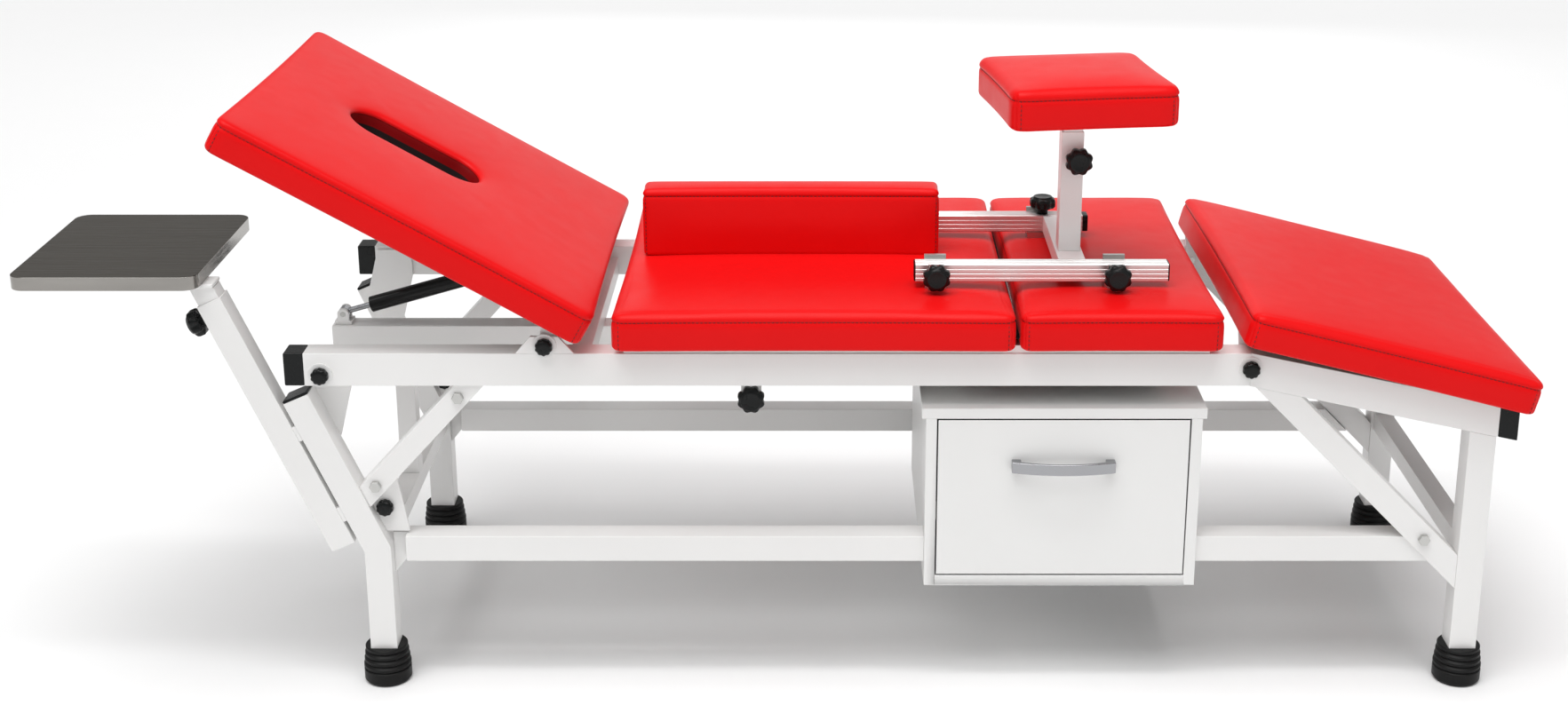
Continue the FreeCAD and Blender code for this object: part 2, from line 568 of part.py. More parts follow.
# Backrest, modelled flat about its hinge and then tilted
half_cushion = dim.cushion_width / 2
back_mid = dim.backrest_past - dim.backrest_length / 2
board_low = dim.backrest_rise
slot_x = -dim.slot_centre
back_pad = cushion(dim.backrest_length, dim.cushion_width, dim.backrest_thick, dim.cushion_corner,
                   dim.cushion_crown)
back_pad = back_pad.cut(board_recess(dim.backrest_length, dim.cushion_width))
slot_tool = stadium(dim.slot_length, dim.slot_width, 3 * dim.backrest_thick)
slot_tool.translate(V(slot_x - back_mid, 0, -dim.backrest_thick))
publish("backrest_cushion", feature("backrest_cushion", back_pad.cut(slot_tool), back_mid, 0, board_low,
                                    backrest_frame))
back_board = box("back_board_blank", "Dim.backrest_length - 2 * Dim.board_inset",
                 "Dim.cushion_width - 2 * Dim.board_inset", "Dim.board_thickness",
                 (dim.backrest_past - dim.backrest_length + dim.board_inset, dim.board_inset - half_cushion,
                  board_low))
board_slot = feature("board_slot", stadium(dim.slot_length, dim.slot_width, 3 * dim.backrest_thick),
                     slot_x, 0, -dim.backrest_thick)
publish("backrest_board", place(cut("backrest_board", back_board, board_slot), 0, 0, 0, backrest_frame))
back_bar_end = 0.86 * dim.backrest_length
bar_low = board_low - dim.bar_size
bars = []
for side in (-1, 1):
    bars.append(box(f"back_bar_{side + 1}", "0.86 * Dim.backrest_length", "Dim.bar_size", "Dim.bar_size",
                    (dim.backrest_past - dim.board_inset - back_bar_end,
                     side * dim.bar_y - dim.bar_size / 2, bar_low),
                    backrest_frame))
lug_y = hinge_inner - dim.side_gap - dim.lug_thickness / 2
ear_y = dim.spring_eye_width / 2 + dim.side_gap + dim.lug_thickness / 2
hinge_hole = dim.pin_radius + dim.pin_clearance


def hinge_lug(name, reach, frame):
    """A tapered lug from a board's underside round a hinge pin, with its bore."""
    half = dim.foot_lug_length / 2
    waist = 1.5 * dim.pin_radius
    side = -dim.lug_thickness / 2
    corners = [V(-waist, side, 0), V(waist, side, 0), V(half, side, reach), V(-half, side, reach)]
    wedge = Part.Face(Part.makePolygon(corners + corners[:1])).extrude(V(0, dim.lug_thickness, 0))
    eye = Part.makeCylinder(1.8 * dim.pin_radius, dim.lug_thickness, V(0, side, 0), V(0, 1, 0))
    bore = Part.makeCylinder(hinge_hole, 2 * dim.lug_thickness, V(0, -dim.lug_thickness, 0), V(0, 1, 0))
    return feature(name, wedge.fuse(eye).cut(bore).removeSplitter(), 0, 0, 0, frame)


def clevis_ear(reach):
    """A round-ended ear about a cross pin, reaching up or down to what it stands on."""
    thick = dim.lug_thickness
    low = min(reach, 0)
    arm = Part.makeBox(2 * dim.spring_eye, thick, abs(reach), V(-dim.spring_eye, -thick / 2, low))
    round_end = Part.makeCylinder(dim.spring_eye, thick, V(0, -thick / 2, 0), V(0, 1, 0))
    hole = Part.makeCylinder(dim.spring_pin + dim.pin_clearance, 2 * thick, V(0, -thick, 0), V(0, 1, 0))
    return arm.fuse(round_end).cut(hole).removeSplitter()


back_lugs = []
for side in (-1, 1):
    back_lugs.append(hinge_lug(f"back_lug_{side + 1}", board_low,
                               backrest_frame.multiply(FreeCAD.Placement(V(0, side * lug_y, 0),
                                                                         FreeCAD.Rotation()))))
ears = []
for side in (-1, 1):
    ears.append(feature(f"spring_ear_{side + 1}", clevis_ear(board_low - dim.spring_n),
                        -dim.spring_u, side * ear_y, dim.spring_n, backrest_frame))
publish("backrest_bars", *bars)
publish("backrest_lugs", *back_lugs, *ears)

# Gas spring in the middle of the bed: rod on the beam's clevis, cylinder on the backrest's ears
spring_low = V(dim.spring_x, 0, dim.spring_z)
spring_high = backrest_frame.multVec(V(-dim.spring_u, 0, dim.spring_n))
spring_line = spring_high - spring_low
spring_span = spring_line.Length
spring_frame = FreeCAD.Placement(spring_low, FreeCAD.Rotation(V(1, 0, 0), spring_line))


def eye_end(width):
    """A round eye about the Y axis, without its bore."""
    return Part.makeCylinder(dim.spring_eye, width, V(0, -width / 2, 0), V(0, 1, 0))


rod_bar = Part.makeCylinder(dim.spring_rod_radius, dim.spring_rod_length, V(0, 0, 0), V(1, 0, 0))
rod_bore = Part.makeCylinder(dim.spring_pin + dim.pin_clearance, 2 * dim.spring_eye_width,
                             V(0, -dim.spring_eye_width, 0), V(0, 1, 0))
publish("spring_rod", feature("spring_rod", rod_bar.fuse(eye_end(dim.spring_eye_width)).cut(rod_bore),
                              frame=spring_frame))
barrel_end = spring_span - 2 * dim.spring_eye
barrel = Part.makeCylinder(dim.spring_radius, barrel_end - dim.spring_mouth, V(dim.spring_mouth, 0, 0),
                           V(1, 0, 0))
barrel_bore = Part.makeCylinder(dim.spring_bore, barrel_end - dim.spring_mouth - 12,
                                V(dim.spring_mouth, 0, 0), V(1, 0, 0))
neck = Part.makeCylinder(dim.spring_rod_radius, 2 * dim.spring_eye, V(barrel_end, 0, 0), V(1, 0, 0))
top_eye = eye_end(dim.spring_eye_width)
top_eye.translate(V(spring_span, 0, 0))
top_bore = rod_bore.copy()
top_bore.translate(V(spring_span, 0, 0))
publish("spring_cylinder", feature("spring_cylinder",
                                   barrel.cut(barrel_bore).fuse([neck, top_eye]).cut(top_bore),
                                   frame=spring_frame))
pin_span = dim.spring_eye_width + 2 * dim.side_gap + 2 * dim.lug_thickness


def spring_pin(name, at):
    """A clevis pin across the bed, the width of both ears."""
    return rod(name, "Dim.spring_pin", "Dim.spring_eye_width + 2 * Dim.side_gap + 2 * Dim.lug_thickness",
               (at.x, -pin_span / 2, at.z), (0, 1, 0))


publish("spring_top_pin", spring_pin("spring_top_pin", spring_high))
publish("spring_low_pin", spring_pin("spring_low_pin", spring_low))
clevis_base = Part.makeBox(3 * dim.spring_eye, pin_span, dim.clamp_back,
                           V(-1.5 * dim.spring_eye, -pin_span / 2, 0))
clevis_parts = []
for side in (-1, 1):
    ear = clevis_ear(rail_low + dim.clamp_back / 2 - dim.spring_z)
    ear.translate(V(0, side * ear_y, dim.spring_z - rail_low))
    clevis_parts.append(ear)
publish("spring_clevis", feature("spring_clevis", clevis_base.fuse(clevis_parts).removeSplitter(),
                                 dim.spring_x, 0, rail_low))

# Floating seat: two runners on the rails, two boards and two cushions
lumbar_mid = dim.lumbar_head_x + dim.lumbar_length / 2
pelvic_x = dim.lumbar_head_x + dim.lumbar_length + dim.seat_gap
pelvic_mid = pelvic_x + dim.pelvic_length / 2
RUN = "Dim.lumbar_length + Dim.seat_gap + Dim.pelvic_length - 2 * Dim.board_inset"
runner = box("seat_runner", RUN, "Dim.runner_width", "Dim.seat_rise",
             (dim.lumbar_head_x + dim.board_inset, -rail_y - dim.runner_width / 2, dim.rail_top))
side_group("seat_runners", runner)
stool_near_y = dim.stool_near_inset - half_cushion
stud_places = []
for x_mid in (dim.clamp_left, dim.clamp_right):
    stud_places.append((x_mid, stool_near_y))
    stud_places.append((x_mid + dim.stool_far_shift, dim.stool_far_y))
boards = []
for label, x_mid, length, size in (("lumbar", lumbar_mid, "Dim.lumbar_length", dim.lumbar_length),
                                   ("pelvic", pelvic_mid, "Dim.pelvic_length", dim.pelvic_length)):
    boards.append(box(label + "_board", f"{length} - 2 * Dim.board_inset",
                      "Dim.cushion_width - 2 * Dim.board_inset",
                      "Dim.board_thickness",
                      (x_mid - size / 2 + dim.board_inset, dim.board_inset - half_cushion, seat_low)))
    pad = cushion(size, dim.cushion_width, dim.seat_thick, dim.cushion_corner, dim.cushion_crown)
    holes = [Part.makeCylinder(dim.stud_radius + dim.soft_gap, 2 * dim.seat_thick, V(x - x_mid, y, 0))
             for x, y in stud_places if abs(x - x_mid) < size / 2]
    pad = pad.cut([board_recess(size, dim.cushion_width)] + holes)
    publish(label + "_cushion", feature(label + "_cushion", pad, x_mid, 0, seat_low))
publish("seat_boards", *boards)
lock_low = seat_low - dim.lock_drop - dim.seat_rise
lock_y = -rail_inner + dim.side_gap + dim.plate_thickness / 2
lock_mid = lock_low + dim.lock_width / 2
publish("lock_bracket", plate("lock_bracket", [
    (dim.lock_x - dim.lock_width / 2, lock_low), (dim.lock_x + dim.lock_width / 2, lock_low),
    (dim.lock_x + dim.lock_width / 2, seat_low), (dim.lock_x - dim.lock_width / 2, seat_low)],
    "Dim.plate_thickness", lock_y))
star_knob("lock_knob", (dim.lock_x, lock_y - dim.plate_thickness / 2, lock_mid), (0, -1, 0))

# Bolster: a loose narrow cushion that stands on the seat
bolster_crown = 0.3 * dim.cushion_crown
bolster = cushion(dim.bolster_length, dim.bolster_thick, dim.bolster_height - bolster_crown,
                  dim.bolster_corner, bolster_crown)
publish("bolster", feature("bolster", bolster, dim.bolster_head_x + dim.bolster_length / 2, dim.bolster_y,
                           seat_top + dim.soft_gap))

# Foot rest, modelled flat about its hinge and then tilted down
foot_mid = dim.foot_length / 2 - dim.foot_past
foot_pad = cushion(dim.foot_length, dim.cushion_width, dim.foot_thick, dim.cushion_corner, dim.cushion_crown)
foot_pad = foot_pad.cut(board_recess(dim.foot_length, dim.cushion_width))
publish("foot_cushion", feature("foot_cushion", foot_pad, foot_mid, 0, dim.foot_rise, foot_frame))
publish("foot_board", box("foot_board", "Dim.foot_length - 2 * Dim.board_inset",
                          "Dim.cushion_width - 2 * Dim.board_inset", "Dim.board_thickness",
                          (dim.board_inset - dim.foot_past, dim.board_inset - half_cushion, dim.foot_rise),
                          foot_frame))
foot_lug_y = rail_inner - dim.side_gap - dim.lug_thickness / 2
foot_lugs = []
for side in (-1, 1):
    foot_lugs.append(hinge_lug(f"foot_lug_{side + 1}", dim.foot_rise,
                               foot_frame.multiply(FreeCAD.Placement(V(0, side * foot_lug_y, 0),
                                                                     FreeCAD.Rotation()))))
publish("foot_hinge_lugs", *foot_lugs)

# Leg stool: two bars in clamps, a cross bar, a sleeve with its post, and the cushion
bar_base = seat_top + dim.stool_lift
half_bar = dim.stool_bar / 2
near_bar = tube("stool_near_bar", [
    ((dim.stool_bar_x, bar_base), (dim.stool_bar_x, bar_base + dim.stool_bar)),
    ((dim.stool_bar_x + dim.stool_bar_length, bar_base),
     (dim.stool_bar_x + dim.stool_bar_length, bar_base + dim.stool_bar))],
    "Dim.stool_bar", stool_near_y)
far_x = dim.stool_bar_x + dim.stool_far_shift
far_bar = tube("stool_far_bar", [
    ((far_x, bar_base), (far_x, bar_base + dim.stool_bar)),
    ((far_x + dim.stool_bar_length, bar_base), (far_x + dim.stool_bar_length, bar_base + dim.stool_bar))],
    "Dim.stool_bar", dim.stool_far_y)
publish("stool_bars", near_bar, far_bar)
publish("stool_cross_bar", box("stool_cross_bar", "Dim.stool_cross_width",
                               "Dim.stool_far_y - Dim.stool_near_inset + Dim.cushion_width / 2 - Dim.stool_bar",
                               "Dim.stool_bar",
                               (dim.stool_cross_x - dim.stool_cross_width / 2, stool_near_y + half_bar,
                                bar_base)))
bar_top = bar_base + dim.stool_bar
half_sleeve = dim.sleeve_size / 2


def square_tube(name, x_mid, y_mid, low, high, size, inner):
    """An upright square tube with a square bore."""
    outer = Part.makeBox(size, size, high - low, V(-size / 2, -size / 2, 0))
    hollow = Part.makeBox(inner, inner, high - low, V(-inner / 2, -inner / 2, 0))
    return feature(name, outer.cut(hollow), x_mid, y_mid, low)


sleeve_inner = dim.sleeve_size - 2 * dim.tube_wall
publish("stool_sleeve", square_tube("stool_sleeve", dim.stool_cross_x, dim.stool_post_y, bar_top,
                                    dim.sleeve_top,
                                    dim.sleeve_size, sleeve_inner))
post_size = sleeve_inner - 2 * dim.post_gap
post_top = dim.sleeve_top + dim.post_out
post_tube = square_tube("stool_post", dim.stool_cross_x, dim.stool_post_y, dim.sleeve_top - dim.post_inside,
                        post_top, post_size, post_size - 2 * dim.tube_wall)
publish("stool_post", post_tube)
stool_turn = FreeCAD.Placement(V(dim.stool_cross_x, dim.stool_post_y, post_top),
                               FreeCAD.Rotation(V(0, 0, 1), dim.stool_yaw))
stool_base = dim.stool_plate
swivel_plate = box("swivel_plate", "0.6 * Dim.stool_size", "0.6 * Dim.stool_size", "Dim.stool_plate",
                   (dim.stool_offset - 0.3 * dim.stool_size, -0.3 * dim.stool_size, 0), stool_turn)
spigot = rod("swivel_spigot", "Dim.sleeve_size / 2 - 2 * Dim.tube_wall - Dim.post_gap - Dim.pin_clearance",
             "Dim.spigot_length + Dim.stool_plate / 2", (0, 0, -dim.spigot_length), (0, 0, 1), stool_turn)
publish("stool_plate", fuse("stool_plate", swivel_plate, spigot))
stool_pad = cushion(dim.stool_size, dim.stool_size, dim.stool_thick, 0.8 * dim.cushion_corner,
                    dim.cushion_crown)
publish("stool_cushion", feature("stool_cushion", stool_pad, dim.stool_offset, 0, stool_base + dim.soft_gap,
                                 stool_turn))


def clamp(name, x_mid, y_mid, jaw):
    """A zinc clamp round a bar: a foot with a stud down to the board, a back plate, and a jaw for a knob."""
    foot = Part.makeBox(dim.clamp_width, dim.stool_bar, dim.stool_lift - 2 * dim.soft_gap,
                        V(-dim.clamp_width / 2, -half_bar, dim.soft_gap))
    back = Part.makeBox(dim.clamp_width, dim.clamp_back,
                        dim.stool_lift + dim.stool_bar + dim.clamp_back - dim.soft_gap,
                        V(-dim.clamp_width / 2, half_bar + dim.soft_gap, dim.soft_gap))
    toe = Part.makeBox(dim.clamp_width, dim.soft_gap, dim.stool_lift - 2 * dim.soft_gap,
                       V(-dim.clamp_width / 2, half_bar, dim.soft_gap))
    board_top = seat_low + dim.board_thickness - seat_top
    stud = Part.makeCylinder(dim.stud_radius, dim.soft_gap + 1 - board_top, V(0, 0, board_top))
    pieces = [toe, back, stud]
    if jaw:
        pieces.append(Part.makeBox(dim.clamp_jaw, dim.clamp_back + dim.soft_gap,
                                   dim.stool_lift - 2 * dim.soft_gap,
                                   V(-dim.clamp_jaw / 2, -half_bar - jaw_depth, dim.soft_gap)))
        pieces.append(Part.makeBox(dim.clamp_jaw, dim.clamp_back,
                                   dim.stool_lift + dim.stool_bar - dim.soft_gap,
                                   V(-dim.clamp_jaw / 2, -half_bar - jaw_depth, dim.soft_gap)))
    return feature(name, foot.fuse(pieces).removeSplitter(), x_mid, y_mid, seat_top)


jaw_depth = dim.clamp_back + dim.soft_gap


clamps = []
for index, x_mid in enumerate((dim.clamp_left, dim.clamp_right)):
    clamps.append(clamp(f"near_clamp_{index}", x_mid, stool_near_y, True))
    clamps.append(clamp(f"far_clamp_{index}", x_mid + dim.stool_far_shift, dim.stool_far_y, False))
publish("stool_clamps", *clamps)
knob_z = bar_base + half_bar
star_knob("clamp_knob_left", (dim.clamp_left, stool_near_y - half_bar - jaw_depth, knob_z), (0, -1, 0))
star_knob("clamp_knob_right", (dim.clamp_right, stool_near_y - half_bar - jaw_depth, knob_z), (0, -1, 0))
star_knob("cross_knob", (dim.stool_cross_x - dim.stool_cross_width / 2, dim.stool_far_y, bar_top), (0, 0, 1))
star_knob("sleeve_knob", (dim.stool_cross_x + dim.sleeve_knob_shift, dim.stool_post_y - half_sleeve,
                          dim.sleeve_top - dim.sleeve_knob_drop), (0, -1, 0))

# Side tray on a post that slides in a sleeve along the leaning head leg
sleeve_axis = shifted(leg_bend, lean + 90, half_leg + dim.tray_gap + dim.tray_sleeve / 2)
sleeve_low = shifted(sleeve_axis, lean, dim.tray_sleeve_low)
sleeve_high = shifted(sleeve_low, lean, dim.tray_sleeve_length)
sleeve_tube = tube("tray_sleeve_tube", [across(sleeve_low, lean, dim.tray_sleeve / 2),
                                            across(sleeve_high, lean, dim.tray_sleeve / 2)],
                            "Dim.tray_sleeve", -rail_y)
strap_lows = [shifted(sleeve_axis, lean, at) for at in (dim.strap_low, dim.strap_high)]
straps = []
for index, at in enumerate(strap_lows):
    inner_edge = shifted(at, lean - 90, dim.tray_sleeve / 2)
    outer_edge = shifted(inner_edge, lean - 90, dim.tray_gap)
    straps.append(plate(f"tray_strap_{index}", strip_outline([
        (inner_edge, outer_edge), (shifted(inner_edge, lean, dim.strap_width),
                                   shifted(outer_edge, lean, dim.strap_width))]),
        "Dim.tray_sleeve", -rail_y))
publish("tray_sleeve", sleeve_tube, *straps)
arm_top = dim.tray_top - dim.tray_skirt
arm_low = arm_top - dim.tray_arm_thickness
inner_size = dim.tray_sleeve - 2 * dim.tube_wall - 2 * dim.tray_inner_gap
inner_low = shifted(sleeve_high, lean, -dim.tray_inside)
inner_edges = across(inner_low, lean, inner_size / 2)
post_stations = [inner_edges, tuple(meet(edge, lean, (0, arm_low), 0) for edge in inner_edges)]
post_body = tube("tray_post", post_stations, f"{inner_size}", -rail_y)
publish("tray_post", post_body)
arm_right = max(corner[0] for corner in post_stations[1])
arm_plate = box("tray_arm_plate", "Dim.tray_arm_length", "Dim.rail_width", "Dim.tray_arm_thickness",
                (arm_right - dim.tray_arm_length, -rail_outer, arm_low))
arm_pad = box("tray_arm_pad", "Dim.tray_pad_length", "Dim.rail_width", "Dim.tray_skirt - Dim.tray_sheet",
              (arm_right - dim.tray_arm_length, -rail_outer, arm_top))
publish("tray_arm", fuse("tray_arm", arm_plate, arm_pad))


def tray_pan(length, depth, height, corner):
    """A plan block with round upright corners."""
    return Part.Face(ring(length, depth, corner, 0.01, 0)).extrude(V(0, 0, height))


tray_shape = tray_pan(dim.tray_length, dim.tray_depth, dim.tray_skirt, dim.tray_corner)
hollow = tray_pan(dim.tray_length - 2 * dim.tray_sheet, dim.tray_depth - 2 * dim.tray_sheet,
                  dim.tray_skirt - dim.tray_sheet, dim.tray_corner - dim.tray_sheet)
publish("tray", feature("tray", tray_shape.cut(hollow), dim.tray_head_x + dim.tray_length / 2,
                        dim.tray_depth / 2 - rail_outer - dim.tray_overhang, dim.tray_top - dim.tray_skirt))
knob_at = shifted(shifted(sleeve_high, lean, -24), lean + 90, dim.tray_sleeve / 2)
knob_out = (math.cos(math.radians(lean + 90)), 0, math.sin(math.radians(lean + 90)))
star_knob("tray_knob", (knob_at[0], -rail_y, knob_at[1]), knob_out)

# Cabinet of white boards, hung under two of the rail cross tubes
cabinet_high = dim.cabinet_low + dim.cabinet_height
side_high = cabinet_high - dim.board
WIDE = "Dim.cabinet_width - 2 * Dim.board"
cabinet_boards = [box("cabinet_top", "Dim.cabinet_width + 2 * Dim.top_overhang", "Dim.cabinet_depth",
                      "Dim.board",
                           (dim.cabinet_x - dim.top_overhang, dim.cabinet_front, side_high))]
cabinet_boards += [box(f"cabinet_side_{index}", "Dim.board", "Dim.cabinet_depth",
                               "Dim.cabinet_height - Dim.board", (x_low, dim.cabinet_front, dim.cabinet_low))
                           for index, x_low in enumerate((dim.cabinet_x, cabinet_right - dim.board))]
cabinet_boards.append(box("cabinet_bottom", WIDE, "Dim.cabinet_depth", "Dim.board",
                              (dim.cabinet_x + dim.board, dim.cabinet_front, dim.cabinet_low)))
inside_low = dim.cabinet_low + dim.board
cabinet_boards.append(box("cabinet_back", WIDE, "Dim.back_board", "Dim.cabinet_height - 2 * Dim.board",
                            (dim.cabinet_x + dim.board,
                             dim.cabinet_front + dim.cabinet_depth - dim.back_board, inside_low)))
publish("cabinet_boards", *cabinet_boards)
hangers = []
for index, (x_mid, y_mid) in enumerate(((hanger_left, dim.hanger_near), (hanger_left, dim.hanger_far),
                                        (hanger_right, dim.hanger_near), (hanger_right, dim.hanger_far))):
    hangers.append(box(f"hanger_{index}", "Dim.cross_size", "Dim.cross_size",
                       "Dim.rail_top - Dim.rail_height - Dim.cabinet_low - Dim.cabinet_height",
                       (x_mid - dim.cross_size / 2, y_mid, cabinet_high)))
publish("cabinet_hangers", *hangers)

# Drawer: inset front, box, handle and side runners
inside_x = dim.cabinet_x + dim.board
gap = dim.drawer_gap
publish("drawer_front", box("drawer_front", f"{WIDE} - 2 * Dim.drawer_gap", "Dim.board",
                            "Dim.cabinet_height - 2 * Dim.board - 2 * Dim.drawer_gap",
                            (inside_x + gap, dim.cabinet_front, inside_low + gap)))
box_x = inside_x + dim.runner_thickness + dim.runner_gap
BOX_DEPTH = "Dim.cabinet_depth - Dim.board - Dim.back_board - Dim.box_back_gap"
box_y = dim.cabinet_front + dim.board
box_depth = dim.cabinet_depth - dim.board - dim.back_board - dim.box_back_gap
box_low = inside_low + dim.box_lift
box_wide = dim.cabinet_width - 2 * dim.board - 2 * dim.runner_thickness - 2 * dim.runner_gap
BOX_WIDE = f"{WIDE} - 2 * Dim.runner_thickness - 2 * Dim.runner_gap"
drawer_boards = [box(f"drawer_side_{index}", "Dim.drawer_side", BOX_DEPTH, "Dim.drawer_box_height",
                              (x_low, box_y, box_low))
                          for index, x_low in enumerate((box_x, box_x + box_wide - dim.drawer_side))]
drawer_boards.append(box("drawer_back", f"{BOX_WIDE} - 2 * Dim.drawer_side", "Dim.drawer_side",
                           "Dim.drawer_box_height",
                           (box_x + dim.drawer_side, box_y + box_depth - dim.drawer_side, box_low)))
drawer_boards.append(box("drawer_bottom", f"{BOX_WIDE} - 2 * Dim.drawer_side",
                         f"{BOX_DEPTH} - Dim.drawer_side",
                             "Dim.back_board", (box_x + dim.drawer_side, box_y, box_low + dim.bottom_lift)))
publish("drawer_box", *drawer_boards)
runner_z = box_low + 0.4 * dim.drawer_box_height
publish("drawer_runners", *[box(f"drawer_runner_{index}", "Dim.runner_thickness", BOX_DEPTH,
                                "3 * Dim.runner_thickness",
                                (x_low, box_y, runner_z))
                            for index, x_low in enumerate((
                                inside_x, cabinet_right - dim.board - dim.runner_thickness))])


def bow_handle():
    """A flat strap bowed out from the drawer front between two feet."""
    half = dim.handle_width / 2
    foot = dim.handle_foot
    outer = [Part.LineSegment(V(half, 0, 0), V(half, -0.55 * dim.handle_reach, 0)).toShape(),
             Part.Arc(V(half, -0.55 * dim.handle_reach, 0), V(0, -dim.handle_reach, 0),
                      V(-half, -0.55 * dim.handle_reach, 0)).toShape(),
             Part.LineSegment(V(-half, -0.55 * dim.handle_reach, 0), V(-half, 0, 0)).toShape()]
    inner = [Part.LineSegment(V(-half, 0, 0), V(foot - half, 0, 0)).toShape(),
             Part.LineSegment(V(foot - half, 0, 0),
                              V(foot - half, dim.handle_strap - 0.62 * dim.handle_reach, 0)).toShape(),
             Part.Arc(V(foot - half, dim.handle_strap - 0.62 * dim.handle_reach, 0),
                      V(0, dim.handle_strap - dim.handle_reach, 0),
                      V(half - foot, dim.handle_strap - 0.62 * dim.handle_reach, 0)).toShape(),
             Part.LineSegment(V(half - foot, dim.handle_strap - 0.62 * dim.handle_reach, 0),
                              V(half - foot, 0, 0)).toShape(),
             Part.LineSegment(V(half - foot, 0, 0), V(half, 0, 0)).toShape()]
    return Part.Face(Part.Wire(outer + inner)).extrude(V(0, 0, dim.handle_height))


publish("drawer_handle", feature("drawer_handle", bow_handle(), dim.cabinet_x + dim.cabinet_width / 2,
                                 dim.cabinet_front, dim.handle_z - dim.handle_height / 2))

# Check every object, then write each sub-part
doc.recompute()
for item in doc.Objects:
    if "Invalid" in item.State or "Error" in item.State:
        raise RuntimeError(f"{item.Name} failed: {item.State}")
os.makedirs("parts", exist_ok=True)
for label, node in nodes.items():
    shape = node.Shape
    if shape.isNull() or not shape.isValid() or not shape.Solids:
        raise RuntimeError(f"{label} has no valid solid")
    shape.exportStep(f"parts/{label}.step")
print(len(nodes), "nodes")
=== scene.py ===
"""Dresses the traction bed: upholstery, tubes, knobs, stool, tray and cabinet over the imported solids."""
from __future__ import annotations

import json
import logging
import math
from dataclasses import dataclass, field
from enum import Enum
from typing import Sequence

import bmesh
import bpy
import numpy as np
from mathutils import Matrix, Vector
from mathutils.bvhtree import BVHTree

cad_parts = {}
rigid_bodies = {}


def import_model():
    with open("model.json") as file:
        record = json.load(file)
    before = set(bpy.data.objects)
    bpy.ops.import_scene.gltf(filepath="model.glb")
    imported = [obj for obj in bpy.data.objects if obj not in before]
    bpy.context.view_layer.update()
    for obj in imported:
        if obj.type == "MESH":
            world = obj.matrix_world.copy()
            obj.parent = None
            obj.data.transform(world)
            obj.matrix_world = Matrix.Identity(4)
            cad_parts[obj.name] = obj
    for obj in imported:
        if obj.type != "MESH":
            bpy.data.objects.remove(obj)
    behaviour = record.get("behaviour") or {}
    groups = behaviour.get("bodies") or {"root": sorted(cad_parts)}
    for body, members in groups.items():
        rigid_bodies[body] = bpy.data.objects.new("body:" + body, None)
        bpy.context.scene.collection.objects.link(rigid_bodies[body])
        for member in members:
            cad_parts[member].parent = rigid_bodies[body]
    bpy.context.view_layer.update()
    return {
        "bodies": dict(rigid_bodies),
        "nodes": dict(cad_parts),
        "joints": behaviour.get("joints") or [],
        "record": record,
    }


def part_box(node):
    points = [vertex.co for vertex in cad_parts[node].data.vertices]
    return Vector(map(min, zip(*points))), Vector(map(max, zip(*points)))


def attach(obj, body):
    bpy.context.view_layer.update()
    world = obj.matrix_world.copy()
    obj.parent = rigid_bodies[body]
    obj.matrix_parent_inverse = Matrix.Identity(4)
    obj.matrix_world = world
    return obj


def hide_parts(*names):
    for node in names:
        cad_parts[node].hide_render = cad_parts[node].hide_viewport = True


LOG = logging.getLogger("traction_bed")
COAT_ROUGHNESS = 0.25
SHEEN_ROUGHNESS = 0.35
SLOW_NOISE = (6.0, 3.0)
ROUGHNESS_NOISE = (35.0, 4.0)
WAVE_DETAIL = 2.0
BRUSHED_DETAIL = 5.0
FINE_DETAIL = 2.0
NOISE_RANGE = (0.3, 0.7)
MERGE_DISTANCE = 1e-6
TINY = 1e-9

Color = tuple[float, float, float, float]
Face = tuple[int, ...]
Spot = tuple[int, int, int]


class Grain(Enum):
    """The way a finish's fine relief is laid out."""

    PEBBLED = "pebbled"
    ORANGE_PEEL = "orange peel"
    BRUSHED = "brushed"
    MOULDED = "moulded"
    SMOOTH = "smooth"


